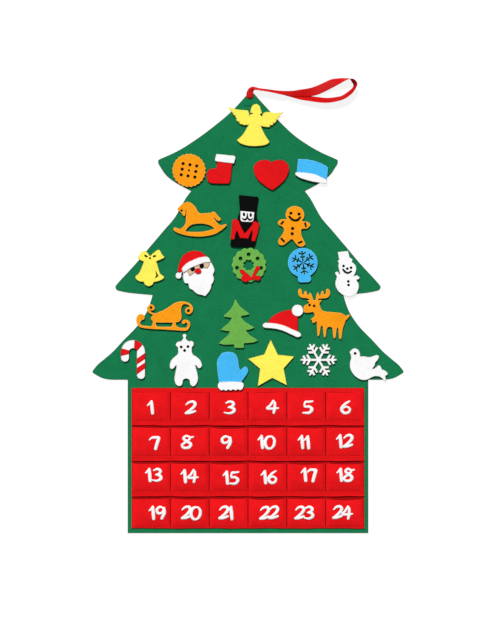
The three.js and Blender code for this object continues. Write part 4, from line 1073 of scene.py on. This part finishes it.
def stitch_line(vertices, faces, a, b, ground, gap=1.0, radius=0.28):
    """A row of stitches from a to b on the ground under it, in millimetres."""
    a, b = Vector(a), Vector(b)
    count = int((b - a).length / (STITCH + gap))
    for i in range(count):
        ends = a.lerp(b, i / count), a.lerp(b, (i + STITCH / (STITCH + gap)) / count)
        start, end = (mm(p.x, p.y, ground(p.x, p.y)) for p in ends)
        add_stitch(vertices, faces, start, end, radius * MM)


def make_row_stitches(row):
    """The thread along a row's foot and between its pockets. The last row has one foot seam."""
    seam = lip_of(row) - SEAM_DEPTH
    ground = partial(front_height, row)
    foot_seams = [seam, seam - SECOND_SEAM] if row < ROWS - 1 else [seam]
    vertices, faces = [], []
    for y in foot_seams:
        ends = (-HALF + STOP_SHORT, y), (HALF - STOP_SHORT, y)
        stitch_line(vertices, faces, *ends, ground)
    along = new_object("foot_stitches_%d" % (row + 1), vertices, faces, [RED_THREAD])
    vertices, faces = [], []
    for column in range(COLUMNS + 1):
        x = min(HALF - END_INSET, max(-HALF + END_INSET, -HALF + column * WIDE))
        ends = (x, seam + ABOVE_FOOT), (x, lip_of(row) - STOP_SHORT)
        stitch_line(vertices, faces, *ends, ground, gap=0.4, radius=0.5)
    between = new_object("side_stitches_%d" % (row + 1), vertices, faces, [SEAM_THREAD_WITH_SHADE])
    for piece in (along, between):
        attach(piece, "wall_hanging")


for row in range(ROWS):
    make_row_stitches(row)


# Half of the bar's width, the y of its two rows, how much they slant, and the tree's thickness
BAR_X, BAR_Y, BAR_SLANT = 9, (464.9, 463.9), 0.4
TREE_TOP = 3.0


def make_tip_stitches():
    """A short bar of dark green thread under the ribbon's hole."""
    vertices, faces = [], []
    for y in BAR_Y:
        ends = (-BAR_X, y), (BAR_X, y - BAR_SLANT)
        stitch_line(vertices, faces, *ends, flat_ground(TREE_TOP), gap=0.3, radius=0.4)
    piece = new_object("tip_stitches", vertices, faces, [GREEN_THREAD])
    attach(piece, "wall_hanging")


make_tip_stitches()


# Faces: plain ones for the toy soldier and for Father Christmas

# Their places count in squares of this many millimetres, whose rows lie a quarter of one low
SQUARE = 2.25


def make_marks(name, body, centre, strokes):
    """Small flat marks of black felt: strokes in squares from a centre, each x, y, half width."""
    vertices, faces = [], []
    for i, stroke in enumerate(strokes):
        points = [
            ((centre[0] + x) * SQUARE, (centre[1] + y) * SQUARE - SQUARE / 4, r * SQUARE)
            for x, y, r in stroke
        ]
        stroke_mesh(points, flat_ground(SECOND_TOP), 0.05 * i, vertices, faces)
    piece = new_object(name, vertices, faces, [FACE["black_felt"]])
    face_outward(piece)
    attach(piece, body)


SOLDIER_CENTRE = (-2.6, 91)
SOLDIER_MARKS = [
    [(-1.5, 7.2, 1.2), (-1.4, 6.0, 1.2)],
    [(5.3, 6.6, 1.2), (5.4, 5.4, 1.2)],
    [(1.9, 7.4, 0.5), (1.9, 5.4, 0.7), (1.8, 3.9, 1.1)],
    [(1.6, 3.0, 0.7), (0.2, 1.6, 0.95), (-1.6, 1.5, 0.8), (-3.2, 2.9, 0.45)],
    [(2.2, 3.0, 0.7), (3.6, 1.4, 0.95), (5.4, 1.2, 0.8), (7.0, 2.4, 0.45)],
]
SANTA_CENTRE = (-51, 38)
SANTA_EYES = [
    [(-4.4, 4.8, 2.2), (-4.1, 5.2, 2.2)],
    [(4.6, 8.0, 2.2), (4.9, 8.4, 2.2)],
]

# The painted shade lines in the globe: how far each starts from the middle and goes into its arm,
# in metres, and its half width there in millimetres
SHADE_LINE_START, SHADE_LINE_END = (0.0022, 0.8), (0.001, 1.35)
SHADE_LINE_THICK = 0.45


def make_globe_marks():
    """Dark lines of painted shade that lead the globe's cut-out arms to the middle of its
    snowflake.
    """
    holes = cut_holes["snow_globe"]
    centre = middle_of([middle_of(loop) for loop in holes])
    vertices, faces = [], []
    for loop in holes:
        near = min(loop, key=lambda p: (p - centre).length)
        way = (near - centre).normalized()
        points = []
        for origin, (far, half) in ((centre, SHADE_LINE_START), (near, SHADE_LINE_END)):
            spot = origin + way * far
            points.append((spot.x / MM, spot.y / MM, half))
        stroke_mesh(points, flat_ground(FIRST_TOP), 0, vertices, faces, SHADE_LINE_THICK)
    piece = new_object("snow_globe_shade_lines", vertices, faces, [HOLE_SHADE])
    face_outward(piece)
    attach(piece, nodes["snow_globe"]["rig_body"])


make_globe_marks()
make_marks("soldier_marks", "soldier", SOLDIER_CENTRE, SOLDIER_MARKS)
make_marks("santa_eyes", "santa", SANTA_CENTRE, SANTA_EYES)


# Light, surroundings and floor

# The sun's strength, its width in degrees and the way it shines, and the strength of the sky
SUN_STRENGTH, SUN_WIDTH = 3.45, 8
SUN_DIRECTION = (0.24, -0.86, -1.05)
SKY_STRENGTH = 0.2
FLOOR_HALF, FLOOR_Z = 6, -0.0006
# The floor's grey where light bounces off it, and a grey and a glow where the camera sees it
BOUNCE_GREY, SEEN_GREY, SEEN_GLOW = 0.8, 0.16, 0.87


def make_lights():
    sun = bpy.data.lights.new("key", "SUN")
    sun.energy = SUN_STRENGTH
    sun.angle = math.radians(SUN_WIDTH)
    lamp = bpy.data.objects.new("key", sun)
    lamp.rotation_euler = Vector(SUN_DIRECTION).to_track_quat("-Z", "Y").to_euler()
    scene.collection.objects.link(lamp)


def make_world():
    """Surroundings that are white to the camera and light the felt only weakly."""
    world = bpy.data.worlds.new("studio")
    scene.world = world
    world.use_nodes = True
    tree = world.node_tree
    back = tree.nodes["Background"]
    back.inputs["Color"].default_value = WHITE
    path = tree.nodes.new("ShaderNodeLightPath")
    mix = tree.nodes.new("ShaderNodeMath")
    mix.operation = "MULTIPLY_ADD"
    mix.inputs[1].default_value = 1 - SKY_STRENGTH
    mix.inputs[2].default_value = SKY_STRENGTH
    tree.links.new(path.outputs["Is Camera Ray"], mix.inputs[0])
    tree.links.new(mix.outputs["Value"], back.inputs["Strength"])


def make_floor():
    """A plain pale floor, which keeps the calendar's shadow."""
    sides = [(-1, -1), (1, -1), (1, 1), (-1, 1)]
    corners = [(x * FLOOR_HALF, y * FLOOR_HALF, FLOOR_Z) for x, y in sides]
    piece = new_object("floor", corners, [(0, 1, 2, 3)], [], smooth=False)
    made = Nodes(bpy.data.materials.new("floor"))
    tree = made.tree
    tree.nodes.remove(made.shader)
    out = tree.nodes["Material Output"]
    plain = made.add("ShaderNodeBsdfDiffuse")
    plain.inputs["Color"].default_value = (BOUNCE_GREY,) * 3 + (1,)
    seen = made.add("ShaderNodeBsdfDiffuse")
    seen.inputs["Color"].default_value = (SEEN_GREY,) * 3 + (1,)
    glow = made.add("ShaderNodeEmission")
    glow.inputs["Strength"].default_value = SEEN_GLOW
    both = made.add("ShaderNodeAddShader")
    made.link(seen.outputs[0], both.inputs[0])
    made.link(glow.outputs[0], both.inputs[1])
    path = made.add("ShaderNodeLightPath")
    mix = made.add("ShaderNodeMixShader")
    made.link(path.outputs["Is Camera Ray"], mix.inputs["Fac"])
    made.link(plain.outputs[0], mix.inputs[1])
    made.link(both.outputs[0], mix.inputs[2])
    made.link(mix.outputs[0], out.inputs["Surface"])
    piece.data.materials.append(made.material)


make_lights()
make_world()
make_floor()
scene.view_settings.view_transform = "Standard"
